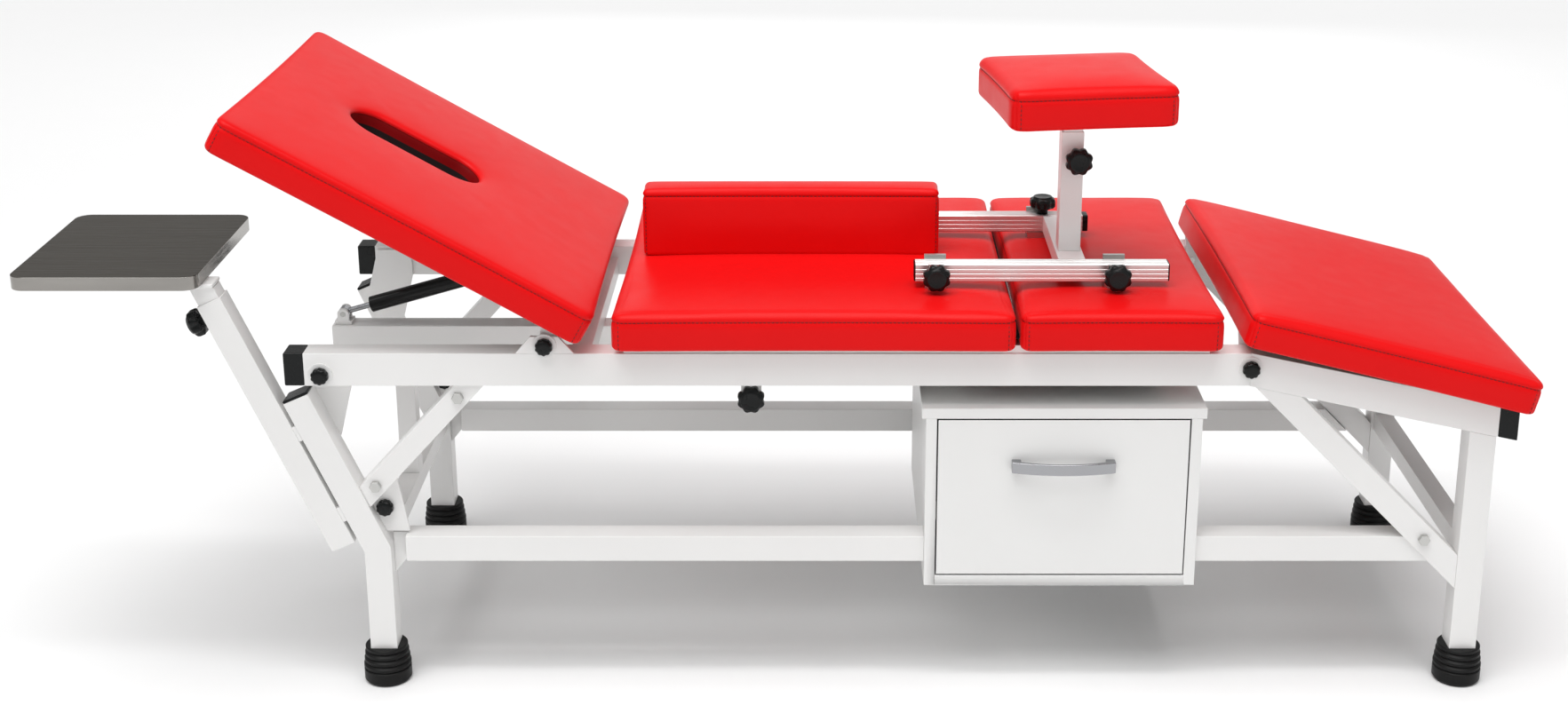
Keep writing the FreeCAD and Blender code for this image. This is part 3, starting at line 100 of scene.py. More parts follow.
@dataclass(frozen=True)
class Finish:
    """One surface finish, made into a node material on first use.

    Attributes:
        name: Name of the material.
        slot: Material slot of the record that the finish stands for; not used.
        color: Base colour, linear.
        second: Colour that the slow variation leans towards.
        roughness: Middle roughness.
        roughness_span: How far the roughness wanders either way.
        metallic: One for bare metal.
        grain: Layout of the fine relief.
        grain_scale: Repeats of the fine relief per metre.
        grain_height: Depth of the fine relief in metres.
        wave_height: Depth of the slow undulation in metres.
        wave_scale: Repeats of the slow undulation per metre.
        stretch: Scale of the coordinates along X, Y and Z, for a brushed direction.
        coat: Weight of a clear coat.
        gloss: Specular level, half for most plastics and paints.
        sheen: Weight of the soft light at grazing angles.
    """

    name: str
    slot: str
    color: Color
    second: Color
    roughness: float = 0.4
    roughness_span: float = 0.06
    metallic: float = 0.0
    grain: Grain = Grain.SMOOTH
    grain_scale: float = 400.0
    grain_height: float = 0.00005
    wave_height: float = 0.0
    wave_scale: float = 20.0
    stretch: tuple[float, float, float] = (1.0, 1.0, 1.0)
    coat: float = 0.0
    gloss: float = 0.5
    sheen: float = 0.0

    def material(self) -> bpy.types.Material:
        """Fetch the node material, building it on first use.

        Returns:
            The material of this finish.
        """
        found = bpy.data.materials.get(self.name)
        return found if found else self._build()

    def _build(self) -> bpy.types.Material:
        """Build the node tree: slow colour variation, wandering roughness and a layered bump.

        Returns:
            The new material.
        """
        material = bpy.data.materials.new(self.name)
        material.use_nodes = True
        tree = material.node_tree
        shader = tree.nodes["Principled BSDF"]
        shader.inputs["Metallic"].default_value = self.metallic
        shader.inputs["Coat Weight"].default_value = self.coat
        shader.inputs["Coat Roughness"].default_value = COAT_ROUGHNESS
        shader.inputs["Specular IOR Level"].default_value = self.gloss
        shader.inputs["Sheen Weight"].default_value = self.sheen
        shader.inputs["Sheen Roughness"].default_value = SHEEN_ROUGHNESS
        coords = tree.nodes.new("ShaderNodeTexCoord")
        mapping = tree.nodes.new("ShaderNodeMapping")
        mapping.inputs["Scale"].default_value = self.stretch
        tree.links.new(coords.outputs["Object"], mapping.inputs["Vector"])
        slow = self._noise(tree, mapping, *SLOW_NOISE)
        blend = tree.nodes.new("ShaderNodeMix")
        blend.data_type = "RGBA"
        blend.inputs["A"].default_value = self.color
        blend.inputs["B"].default_value = self.second
        tree.links.new(slow.outputs["Fac"], blend.inputs["Factor"])
        tree.links.new(blend.outputs["Result"], shader.inputs["Base Color"])
        fine = self._fine(tree, mapping)
        spread = tree.nodes.new("ShaderNodeMapRange")
        spread.inputs["From Min"].default_value, spread.inputs["From Max"].default_value = NOISE_RANGE
        spread.inputs["To Min"].default_value = self.roughness - self.roughness_span
        spread.inputs["To Max"].default_value = self.roughness + self.roughness_span
        rough_source = fine if self.grain is Grain.BRUSHED else self._noise(tree, mapping, *ROUGHNESS_NOISE)
        tree.links.new(rough_source.outputs[0], spread.inputs["Value"])
        tree.links.new(spread.outputs["Result"], shader.inputs["Roughness"])
        normal = self._bump(tree, fine.outputs[0], self.grain_height, None)
        if self.wave_height > 0.0:
            wave = self._noise(tree, mapping, self.wave_scale, WAVE_DETAIL)
            normal = self._bump(tree, wave.outputs["Fac"], self.wave_height, normal)
        tree.links.new(normal.outputs["Normal"], shader.inputs["Normal"])
        return material

    @staticmethod
    def _noise(tree: bpy.types.NodeTree, mapping: bpy.types.Node, scale: float,
               detail: float) -> bpy.types.Node:
        """Add a noise texture on the mapped coordinates.

        Args:
            tree: Tree that gets the node.
            mapping: Mapping node that feeds it.
            scale: Repeats per metre.
            detail: Octaves.

        Returns:
            The noise node.
        """
        node = tree.nodes.new("ShaderNodeTexNoise")
        node.inputs["Scale"].default_value = scale
        node.inputs["Detail"].default_value = detail
        tree.links.new(mapping.outputs["Vector"], node.inputs["Vector"])
        return node

    def _fine(self, tree: bpy.types.NodeTree, mapping: bpy.types.Node) -> bpy.types.Node:
        """Add the fine relief that the grain asks for.

        Args:
            tree: Tree that gets the node.
            mapping: Mapping node that feeds it.

        Returns:
            The node whose first output is the relief.
        """
        if self.grain is Grain.PEBBLED:
            node = tree.nodes.new("ShaderNodeTexVoronoi")
            node.feature = "SMOOTH_F1"
            node.inputs["Scale"].default_value = self.grain_scale
            tree.links.new(mapping.outputs["Vector"], node.inputs["Vector"])
            return node
        detail = BRUSHED_DETAIL if self.grain is Grain.BRUSHED else FINE_DETAIL
        return self._noise(tree, mapping, self.grain_scale, detail)

    @staticmethod
    def _bump(tree: bpy.types.NodeTree, height: bpy.types.NodeSocket, distance: float,
              below: bpy.types.Node | None) -> bpy.types.Node:
        """Add a bump layer, on top of another where one is given.

        Args:
            tree: Tree that gets the node.
            height: Socket that holds the relief.
            distance: Depth of the relief in metres.
            below: Bump node that this one is laid over.

        Returns:
            The bump node.
        """
        node = tree.nodes.new("ShaderNodeBump")
        node.inputs["Strength"].default_value = 1.0
        node.inputs["Distance"].default_value = distance
        tree.links.new(height, node.inputs["Height"])
        if below is not None:
            tree.links.new(below.outputs["Normal"], node.inputs["Normal"])
        return node


RED_LEATHERETTE = Finish(
    "red_leatherette_cover", "red_leatherette", (0.79, 0.005, 0.006, 1), (0.72, 0.004, 0.005, 1),
    roughness=0.37, roughness_span=0.025, grain=Grain.PEBBLED, grain_scale=850.0, grain_height=0.00012,
    wave_height=0.0012, wave_scale=9.0, gloss=0.11, sheen=0.03)
# Painted shade inside the backrest's slot: dark red a little way down the wall, near-black deeper in.
SLOT_WALL_SHADE = Finish(
    "slot_wall_painted_shade", "red_leatherette", (0.2, 0.002, 0.003, 1), (0.15, 0.001, 0.002, 1), roughness=0.5,
    grain=Grain.PEBBLED, grain_scale=850.0, grain_height=0.0001, gloss=0.06)
SLOT_DEPTH_SHADE = Finish(
    "slot_depth_painted_shade", "red_leatherette", (0.012, 0.008, 0.008, 1), (0.02, 0.012, 0.012, 1),
    roughness=0.85, roughness_span=0.05, grain=Grain.ORANGE_PEEL, grain_scale=900.0, grain_height=0.0001,
    gloss=0.05)
# Thread darker than the cover: real thread, its darkness partly painted shade that deepens the seam groove's
# line.
SEAM_SHADE_THREAD = Finish(
    "red_thread_seam_shade", "red_leatherette", (0.2, 0.004, 0.005, 1), (0.14, 0.003, 0.004, 1), roughness=0.6,
    grain=Grain.BRUSHED, grain_scale=900.0, grain_height=0.00008)
WHITE_PAINT = Finish(
    "white_powder_coat", "white_paint", (0.87, 0.865, 0.855, 1), (0.83, 0.825, 0.815, 1), roughness=0.38,
    grain=Grain.ORANGE_PEEL, grain_scale=420.0, grain_height=0.00003, coat=0.15)
WHITE_CAP = Finish(
    "white_washer", "white_plastic", (0.85, 0.85, 0.84, 1), (0.8, 0.8, 0.79, 1), roughness=0.3,
    grain=Grain.MOULDED, grain_scale=500.0, grain_height=0.00002)
BLACK_PLASTIC = Finish(
    "black_moulded_plastic", "black_plastic", (0.005, 0.006, 0.006, 1), (0.009, 0.01, 0.01, 1),
    roughness=0.27, grain=Grain.MOULDED, grain_scale=700.0, grain_height=0.00003, gloss=0.2)
BLACK_RUBBER = Finish(
    "black_foot_rubber", "black_rubber", (0.006, 0.006, 0.006, 1), (0.012, 0.012, 0.012, 1), roughness=0.45,
    grain=Grain.MOULDED, grain_scale=500.0, grain_height=0.0001, gloss=0.16)
ZINC = Finish(
    "zinc_plate", "zinc", (0.58, 0.58, 0.56, 1), (0.46, 0.46, 0.45, 1), roughness=0.32, metallic=1.0,
    grain=Grain.MOULDED, grain_scale=300.0, grain_height=0.00004)
CHROME = Finish(
    "chrome_plate", "chrome", (0.42, 0.425, 0.44, 1), (0.3, 0.305, 0.32, 1), roughness=0.09,
    roughness_span=0.03, metallic=1.0, grain=Grain.MOULDED, grain_scale=200.0, grain_height=0.000005)
BLACK_PAINT = Finish(
    "black_gloss_paint", "black_paint", (0.006, 0.006, 0.006, 1), (0.01, 0.01, 0.01, 1), roughness=0.2,
    grain=Grain.ORANGE_PEEL, grain_scale=400.0, grain_height=0.00002, gloss=0.25)
ALUMINIUM = Finish(
    "aluminium_bar", "ribbed_aluminium", (0.8, 0.8, 0.79, 1), (0.7, 0.7, 0.69, 1), roughness=0.36,
    metallic=0.85, grain=Grain.BRUSHED, grain_scale=60.0, grain_height=0.00002, stretch=(0.3, 12.0, 12.0))
# One steel sheet in two copies: the top's darker colour is painted shade, the rim's lighter colour a painted
# highlight; the brushed and polished roughness is real.
TRAY_TOP_SHADED = Finish(
    "brushed_steel_top_painted_shade", "steel_sheet", (0.14, 0.13, 0.112, 1), (0.094, 0.085, 0.073, 1), roughness=0.42,
    roughness_span=0.08, metallic=0.9, grain=Grain.BRUSHED, grain_scale=40.0, grain_height=0.00003,
    wave_height=0.001, wave_scale=7.0, stretch=(1.0, 22.0, 1.0))
TRAY_RIM_LIT = Finish(
    "polished_steel_rim_painted_highlight", "steel_sheet", (0.36, 0.345, 0.325, 1), (0.25, 0.24, 0.225, 1), roughness=0.17,
    roughness_span=0.04, metallic=1.0, grain=Grain.BRUSHED, grain_scale=40.0, grain_height=0.000004,
    stretch=(1.0, 1.0, 6.0))
LAMINATE = Finish(
    "white_laminate", "white_board", (0.86, 0.86, 0.85, 1), (0.82, 0.82, 0.81, 1), roughness=0.42,
    grain=Grain.ORANGE_PEEL, grain_scale=260.0, grain_height=0.00003)
# Painted shade: the boards get a near-black brown, so where they show between the cushions they read as
# shaded.
PLYWOOD_SHADED = Finish(
    "plywood_painted_shade", "plywood", (0.06, 0.042, 0.026, 1), (0.035, 0.024, 0.014, 1), roughness=0.6,
    grain=Grain.BRUSHED, grain_scale=30.0, grain_height=0.0001, stretch=(1.0, 14.0, 14.0))
PALE_FLOOR = Finish(
    "pale_floor", "floor", (0.93, 0.93, 0.93, 1), (0.92, 0.92, 0.92, 1), roughness=0.7, grain_height=0.00001)


def link(piece: bpy.types.Object) -> bpy.types.Object:
    """Put an object into the scene and hand it back."""
    bpy.context.scene.collection.objects.link(piece)
    return piece


def ring_faces(rows: int, count: int, closed: bool = False) -> list[Face]:
    """Join rings of points that follow each other with four-sided faces.

    Args:
        rows: Number of rings.
        count: Points in each ring.
        closed: True where the last ring joins the first.

    Returns:
        The corner numbers of each face.
    """
    return [(row * count + spot, row * count + (spot + 1) % count,
             (row + 1) % rows * count + (spot + 1) % count, (row + 1) % rows * count + spot)
            for row in range(rows if closed else rows - 1) for spot in range(count)]


def end_faces(rows: int, count: int) -> list[Face]:
    """Close the first and the last of several rings with one face each.

    Args:
        rows: Number of rings.
        count: Points in each ring.

    Returns:
        The corner numbers of the two faces.
    """
    return [tuple(range(count)), tuple(range((rows - 1) * count, rows * count))]


@dataclass
class Shells:
    """Several closed shells gathered for one mesh."""

    verts: list[Vector] = field(default_factory=list)
    faces: list[Face] = field(default_factory=list)

    def add(self, verts: Sequence[Vector], faces: Sequence[Face]) -> None:
        """Add one shell, with its corner numbers moved past those before it."""
        self.faces += [tuple(spot + len(self.verts) for spot in face) for face in faces]
        self.verts += verts


def mesh_object(name: str, verts: Sequence[Sequence[float]],
                faces: Sequence[Sequence[int]]) -> bpy.types.Object:
    """Make a mesh object with smooth faces that point outwards.

    Args:
        name: Name of the object.
        verts: Corner places in metres.
        faces: Corner numbers of each face.

    Returns:
        The new object, in the scene.
    """
    mesh = bpy.data.meshes.new(name)
    mesh.from_pydata([tuple(v) for v in verts], [], [tuple(f) for f in faces])
    bench = bmesh.new()
    bench.from_mesh(mesh)
    bmesh.ops.recalc_face_normals(bench, faces=bench.faces)
    bench.to_mesh(mesh)
    bench.free()
    mesh.shade_smooth()
    return link(bpy.data.objects.new(name, mesh))


def dress(piece: bpy.types.Object, finish: Finish, body: str, *nodes: str) -> bpy.types.Object:
    """Give a piece its finish, its body and the nodes that it stands for.

    Args:
        piece: Object to dress.
        finish: Finish of its surface.
        body: Body that it rides on.
        nodes: Solids that it replaces.

    Returns:
        The same object.
    """
    if not piece.data.materials:
        piece.data.materials.append(finish.material())
    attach(piece, body)
    if nodes:
        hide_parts(*nodes)
    LOG.info("%s rides on %s", piece.name, body)
    return piece


def subdivide(piece: bpy.types.Object, levels: int) -> None:
    """Add a subdivision surface with the same level in view and render.

    Args:
        piece: Object that gets it.
        levels: Number of subdivisions.
    """
    smooth = piece.modifiers.new("smooth", "SUBSURF")
    smooth.levels = levels
    smooth.render_levels = levels


class StitchRow:
    """A Geometry Nodes tree that lays thread stitches along a curve."""

    TREE = "stitch_row"
    SIZES = {"Pitch": 0.006, "Stitch Length": 0.0045, "Thread Radius": 0.0007}
    SEGMENTS = 6
    RINGS = 5

    @classmethod
    def tree(cls) -> bpy.types.NodeTree:
        """Build the tree once: resample the path, set a capsule on each point and realise them.

        Returns:
            The node group.
        """
        found = bpy.data.node_groups.get(cls.TREE)
        if found:
            return found
        group = bpy.data.node_groups.new(cls.TREE, "GeometryNodeTree")
        face = group.interface
        face.new_socket("Geometry", in_out="INPUT", socket_type="NodeSocketGeometry")
        face.new_socket("Geometry", in_out="OUTPUT", socket_type="NodeSocketGeometry")
        for label, size in cls.SIZES.items():
            socket = face.new_socket(label, in_out="INPUT", socket_type="NodeSocketFloat")
            socket.default_value = size
        face.new_socket("Thread", in_out="INPUT", socket_type="NodeSocketMaterial")
        make = group.nodes.new
        begin, end = make("NodeGroupInput"), make("NodeGroupOutput")
        resample = make("GeometryNodeResampleCurve")
        resample.mode = "LENGTH"
        thread = make("GeometryNodeMeshUVSphere")
        thread.inputs["Segments"].default_value = cls.SEGMENTS
        thread.inputs["Rings"].default_value = cls.RINGS
        squeeze = make("GeometryNodeTransform")
        half = make("ShaderNodeMath")
        half.operation = "DIVIDE"
        half.inputs[1].default_value = 2.0
        ratio = make("ShaderNodeMath")
        ratio.operation = "DIVIDE"
        shape = make("ShaderNodeCombineXYZ")
        shape.inputs["X"].default_value = 1.0
        shape.inputs["Y"].default_value = 1.0
        tangent = make("GeometryNodeInputTangent")
        align = make("FunctionNodeAlignRotationToVector")
        align.axis = "Z"
        place = make("GeometryNodeInstanceOnPoints")
        realize = make("GeometryNodeRealizeInstances")
        paint = make("GeometryNodeSetMaterial")
        for source, outlet, target, inlet in (
                (begin, "Geometry", resample, "Curve"), (begin, "Pitch", resample, "Length"),
                (begin, "Thread Radius", thread, "Radius"), (begin, "Stitch Length", half, 0),
                (half, 0, ratio, 0), (begin, "Thread Radius", ratio, 1), (ratio, 0, shape, "Z"),
                (thread, "Mesh", squeeze, "Geometry"), (shape, "Vector", squeeze, "Scale"),
                (tangent, "Tangent", align, "Vector"), (resample, "Curve", place, "Points"),
                (squeeze, "Geometry", place, "Instance"), (align, "Rotation", place, "Rotation"),
                (place, "Instances", realize, "Geometry"), (realize, "Geometry", paint, "Geometry"),
                (begin, "Thread", paint, "Material"), (paint, "Geometry", end, "Geometry")):
            group.links.new(source.outputs[outlet], target.inputs[inlet])
        return group

    @classmethod
    def sew(cls, name: str, paths: Sequence[tuple[Sequence[Vector], bool]],
            finish: Finish) -> bpy.types.Object:
        """Lay stitches along several paths and make the result one plain mesh.

        Args:
            name: Name of the new object.
            paths: Point lists, each with a flag that says whether it closes on itself.
            finish: Finish of the thread.

        Returns:
            The stitches as a mesh object.
        """
        curve = bpy.data.curves.new(name + "_path", "CURVE")
        curve.dimensions = "3D"
        for points, closed in paths:
            spline = curve.splines.new("POLY")
            spline.points.add(len(points) - 1)
            for spot, place in zip(spline.points, points):
                spot.co = (*place, 1.0)
            spline.use_cyclic_u = closed
        carrier = link(bpy.data.objects.new(name + "_path", curve))
        layer = carrier.modifiers.new("stitches", "NODES")
        layer.node_group = cls.tree()
        sockets = {item.name: item.identifier for item in layer.node_group.interface.items_tree
                   if item.in_out == "INPUT"}
        layer[sockets["Thread"]] = finish.material()
        ready = carrier.evaluated_get(bpy.context.evaluated_depsgraph_get())
        mesh = bpy.data.meshes.new_from_object(ready)
        mesh.shade_smooth()
        bpy.data.objects.remove(carrier)
        return link(bpy.data.objects.new(name, mesh))


@dataclass
class Cushion:
    """A firm foam block in leatherette, with a top seam, corner seams and a crowned top.

    Attributes:
        name: Name of the piece.
        node: Solid that it replaces.
        body: Body that it rides on.
        length: Size along its own X.
        width: Size along its own Y.
        thick: Height of the rolled top edge above the base.
        place: Where its base centre stands, with its tilt.
        corner: Plan radius of the corners.
        edge: Radius of the rolled edges.
        crown: Rise of the middle above the rolled edge.
        draw: How far the long sides pull in between the corners.
        step: Spacing of the grid.
        recess: Depth of the hollow in the underside that takes the board, with its inset.
        groove: Depth of the seams.
        fill: How full the cushion is, from slack to tight; not used.
        piece: The mesh object, once it is built.
        seam: Points of the top seam's stitches.
        uprights: Points of the corner seams' stitches.
    """

    ROLL_SHARES = (0.67, 0.34, 0.0)
    BASE_ROLL = 0.7
    SEAM_DROP = 0.0022
    SEAM_HALF = 0.002
    LEDGE = 0.001
    CORNER_CUT = 0.6
    CORNER_STITCH = 0.55
    STITCHED_LEVELS = slice(2, -4)
    CROWN_REACH = 0.42
    CROWN_POWER = 2.4
    THREAD_PROUD = 0.0003

    name: str
    node: str
    body: str
    length: float
    width: float
    thick: float
    place: Matrix
    corner: float = 0.02
    edge: float = 0.009
    crown: float = 0.004
    draw: float = 0.003
    step: float = 0.016
    recess: tuple[float, float] = (0.0127, 0.0155)
    groove: float = 0.0036
    fill: float = 0.9
    piece: bpy.types.Object | None = field(default=None, init=False)
    seam: list[Vector] = field(default_factory=list, init=False)
    uprights: list[list[Vector]] = field(default_factory=list, init=False)

    def lines(self, half: float) -> np.ndarray:
        """Grid lines along one plan direction, closer together in the rolled edge.

        Args:
            half: Half of the size along that direction.

        Returns:
            The line places, from one side to the other.
        """
        depth, inset = self.recess
        inner = half - (inset if depth > 0.0 else self.edge)
        core = np.linspace(-inner, inner, max(4, round(2 * inner / self.step)) + 1)
        rim = half - self.edge * np.array(self.ROLL_SHARES)
        if depth > 0.0:
            rim = np.concatenate([[half - inset + self.LEDGE, half - self.edge], rim])
        return np.concatenate([-rim[::-1], core, rim])

    def levels(self) -> np.ndarray:
        """Grid lines up the side: rolled base, side panel, seam and rolled top edge.

        Returns:
            The line places, from the base to the top.
        """
        seam, low = self.seam_level(), self.edge * self.BASE_ROLL
        base = np.array([*self.ROLL_SHARES[::-1], 1.0]) * self.edge * self.BASE_ROLL
        side = np.linspace(low, seam - self.SEAM_HALF, max(3, round(self.thick / self.step)))[1:]
        top = self.thick - self.edge * np.array(self.ROLL_SHARES)
        return np.concatenate([base, side, [seam, seam + self.SEAM_HALF], top])

    def seam_level(self) -> float:
        """Height of the top seam above the base."""
        return self.thick - self.edge - self.SEAM_DROP

    def rounded(self, distance: float, radius: float, from_top: bool) -> tuple[float, float]:
        """Roll an edge: turn a distance from the edge line into an inset and a drop.

        Args:
            distance: Distance from the edge line along the flat or along the side.
            radius: Radius of the roll.
            from_top: True on the flat, false on the side.

        Returns:
            The inset from the side and the drop from the flat.
        """
        if distance >= radius:
            return (distance, 0.0) if from_top else (0.0, distance)
        turn = math.radians(45.0) * (1.0 - distance / radius)
        angle = turn if from_top else math.radians(90.0) - turn
        return radius - radius * math.sin(angle), radius - radius * math.cos(angle)

    def plan(self, x: float, y: float) -> tuple[float, float]:
        """Round the plan's corners and pull its sides in.

        Args:
            x: Place along the length.
            y: Place along the width.

        Returns:
            The new place.
        """
        half_x, half_y = self.length / 2, self.width / 2
        over_x = max(abs(x) - (half_x - self.corner), 0.0)
        over_y = max(abs(y) - (half_y - self.corner), 0.0)
        span = math.hypot(over_x, over_y)
        share = max(over_x, over_y) / span if span > 0 else 1.0
        new_x = min(abs(x), half_x - self.corner) + over_x * share
        new_y = min(abs(y), half_y - self.corner) + over_y * share
        pull_x = self.draw * (1 - (y / half_y) ** 2) * (abs(x) / half_x) ** 3
        pull_y = self.draw * (1 - (x / half_x) ** 2) * (abs(y) / half_y) ** 3
        return math.copysign(max(new_x - pull_x, 0.0), x), math.copysign(max(new_y - pull_y, 0.0), y)

    def rise(self, x: float, y: float) -> float:
        """Crown of the top at a plan place.

        Args:
            x: Place along the length.
            y: Place along the width.

        Returns:
            The rise above the rolled edge.
        """
        reach = self.CROWN_REACH * min(self.length, self.width)
        height = self.crown
        for inset in (self.length / 2 - abs(x), self.width / 2 - abs(y)):
            share = min(max(inset / reach, 0.0), 1.0)
            height *= 1 - (1 - share) ** self.CROWN_POWER
        return height

    def shape(self, x: float, y: float, z: float, tier: int, tiers: int) -> Vector:
        """Move one grid point of the plain block to the cushion's surface.

        Args:
            x: Place along the length.
            y: Place along the width.
            z: Place up the block.
            tier: Number of its level.
            tiers: Number of the top level.

        Returns:
            The surface point in the cushion's own frame.
        """
        half_x, half_y = self.length / 2, self.width / 2
        inset_x, inset_y = half_x - abs(x), half_y - abs(y)
        radius = self.edge if z > self.thick / 2 else self.BASE_ROLL * self.edge
        if tier in (0, tiers):
            in_x, drop_x = self.rounded(inset_x, radius, True)
            in_y, drop_y = self.rounded(inset_y, radius, True)
            drop = max(drop_x, drop_y)
            hollow = self.recess[0] if min(inset_x, inset_y) > self.recess[1] - MERGE_DISTANCE else 0.0
            height = self.thick - drop + self.rise(x, y) if tier == tiers else drop + hollow
            flat_x, flat_y = self.plan(math.copysign(half_x - in_x, x), math.copysign(half_y - in_y, y))
            return Vector((flat_x, flat_y, height))
        depth = min(z, self.thick - z)
        inset, drop = self.rounded(depth, radius, False)
        if abs(z - self.seam_level()) < MERGE_DISTANCE:
            inset += self.groove
        if inset_x < TINY and inset_y < TINY:
            inset += self.CORNER_CUT * self.groove
        height = drop if z < self.thick / 2 else self.thick - drop
        edge_x = math.copysign(abs(x) - (inset if inset_x < TINY else 0.0), x)
        edge_y = math.copysign(abs(y) - (inset if inset_y < TINY else 0.0), y)
        flat_x, flat_y = self.plan(edge_x, edge_y)
        return Vector((flat_x, flat_y, height))

    def build(self) -> None:
        """Make the block's mesh, ready for its filling, and note its seams."""
        xs, ys, zs = self.lines(self.length / 2), self.lines(self.width / 2), self.levels()
        last = (len(xs) - 1, len(ys) - 1, len(zs) - 1)
        numbers: dict[Spot, int] = {}
        verts: list[Vector] = []
        faces: list[Face] = []
        pins: list[int] = []
        seam_tier = int(np.argmin(np.abs(zs - self.seam_level())))

        def number(i: int, j: int, k: int) -> int:
            """Number of a grid point, made on first use.

            Args:
                i: Line along the length.
                j: Line along the width.
                k: Line up the side.

            Returns:
                Its number in the mesh.
            """
            key = (i, j, k)
            if key not in numbers:
                numbers[key] = len(verts)
                verts.append(self.shape(float(xs[i]), float(ys[j]), float(zs[k]), k, last[2]))
                upright = i in (0, last[0]) and j in (0, last[1])
                if k in (0, seam_tier) or (upright and k < last[2]):
                    pins.append(numbers[key])
            return numbers[key]

        def patch(spot: Spot, first: Spot, second: Spot) -> None:
            """Add the face that two steps of one line each open from a grid point.

            Args:
                spot: Grid point that it starts from.
                first: First step.
                second: Second step.
            """
            steps = ((0, 0, 0), first, tuple(map(sum, zip(first, second))), second)
            faces.append(tuple(number(*map(sum, zip(spot, step))) for step in steps))

        for k in (0, last[2]):
            for i in range(last[0]):
                for j in range(last[1]):
                    patch((i, j, k), (1, 0, 0), (0, 1, 0))
        for k in range(last[2]):
            for i in range(last[0]):
                for j in (0, last[1]):
                    patch((i, j, k), (1, 0, 0), (0, 0, 1))
            for j in range(last[1]):
                for i in (0, last[0]):
                    patch((i, j, k), (0, 1, 0), (0, 0, 1))
        self.piece = mesh_object(self.name, verts, faces)
        group = self.piece.vertex_groups.new(name="seams")
        group.add(pins, 1.0, "REPLACE")
        self.note_seams(xs, ys, zs)

    def note_seams(self, xs: np.ndarray, ys: np.ndarray, zs: np.ndarray) -> None:
        """Keep the stitch lines: one along the top seam all round, and one beside each corner seam.

        Args:
            xs: Grid lines along the length.
            ys: Grid lines along the width.
            zs: Grid lines up the side.
        """
        top = len(zs) - 1
        level = self.seam_level()
        half_x, half_y = self.length / 2, self.width / 2
        lap = [(x, -half_y) for x in xs] + [(half_x, y) for y in ys[1:]]
        lap += [(x, half_y) for x in xs[::-1][1:]] + [(-half_x, y) for y in ys[::-1][1:-1]]
        self.seam = [self.shape(float(x), float(y), level, 1, top) for x, y in lap]
        for sign_x in (-1, 1):
            for sign_y in (-1, 1):
                beside = sign_x * (half_x - self.CORNER_STITCH * self.corner)
                self.uprights.append([self.shape(beside, sign_y * half_y, float(z), 1, top)
                                      for z in zs[self.STITCHED_LEVELS]])

    def finish(self) -> None:
        """Set the filled mesh in its place, sew it and hand it to its body."""
        self.piece.data.transform(self.place)
        subdivide(self.piece, 1)
        dress(self.piece, RED_LEATHERETTE, self.body, self.node)
        skin = BVHTree.FromObject(self.piece, bpy.context.evaluated_depsgraph_get())
        paths = [(self.on_skin(skin, self.seam), True)]
        paths += [(self.on_skin(skin, row), False) for row in self.uprights]
        stitches = StitchRow.sew(self.name + "_stitches", paths, SEAM_SHADE_THREAD)
        dress(stitches, SEAM_SHADE_THREAD, self.body)

    def on_skin(self, skin: BVHTree, row: Sequence[Vector]) -> list[Vector]:
        """Lay a stitch line of the plain block on the filled surface.

        Args:
            skin: The filled surface.
            row: Points in the cushion's own frame.

        Returns:
            The points on the surface, a little proud of it.
        """
        laid: list[Vector] = []
        for point in row:
            spot, out, _, _ = skin.find_nearest(self.place @ point)
            laid.append(spot + out * self.THREAD_PROUD)
        return laid


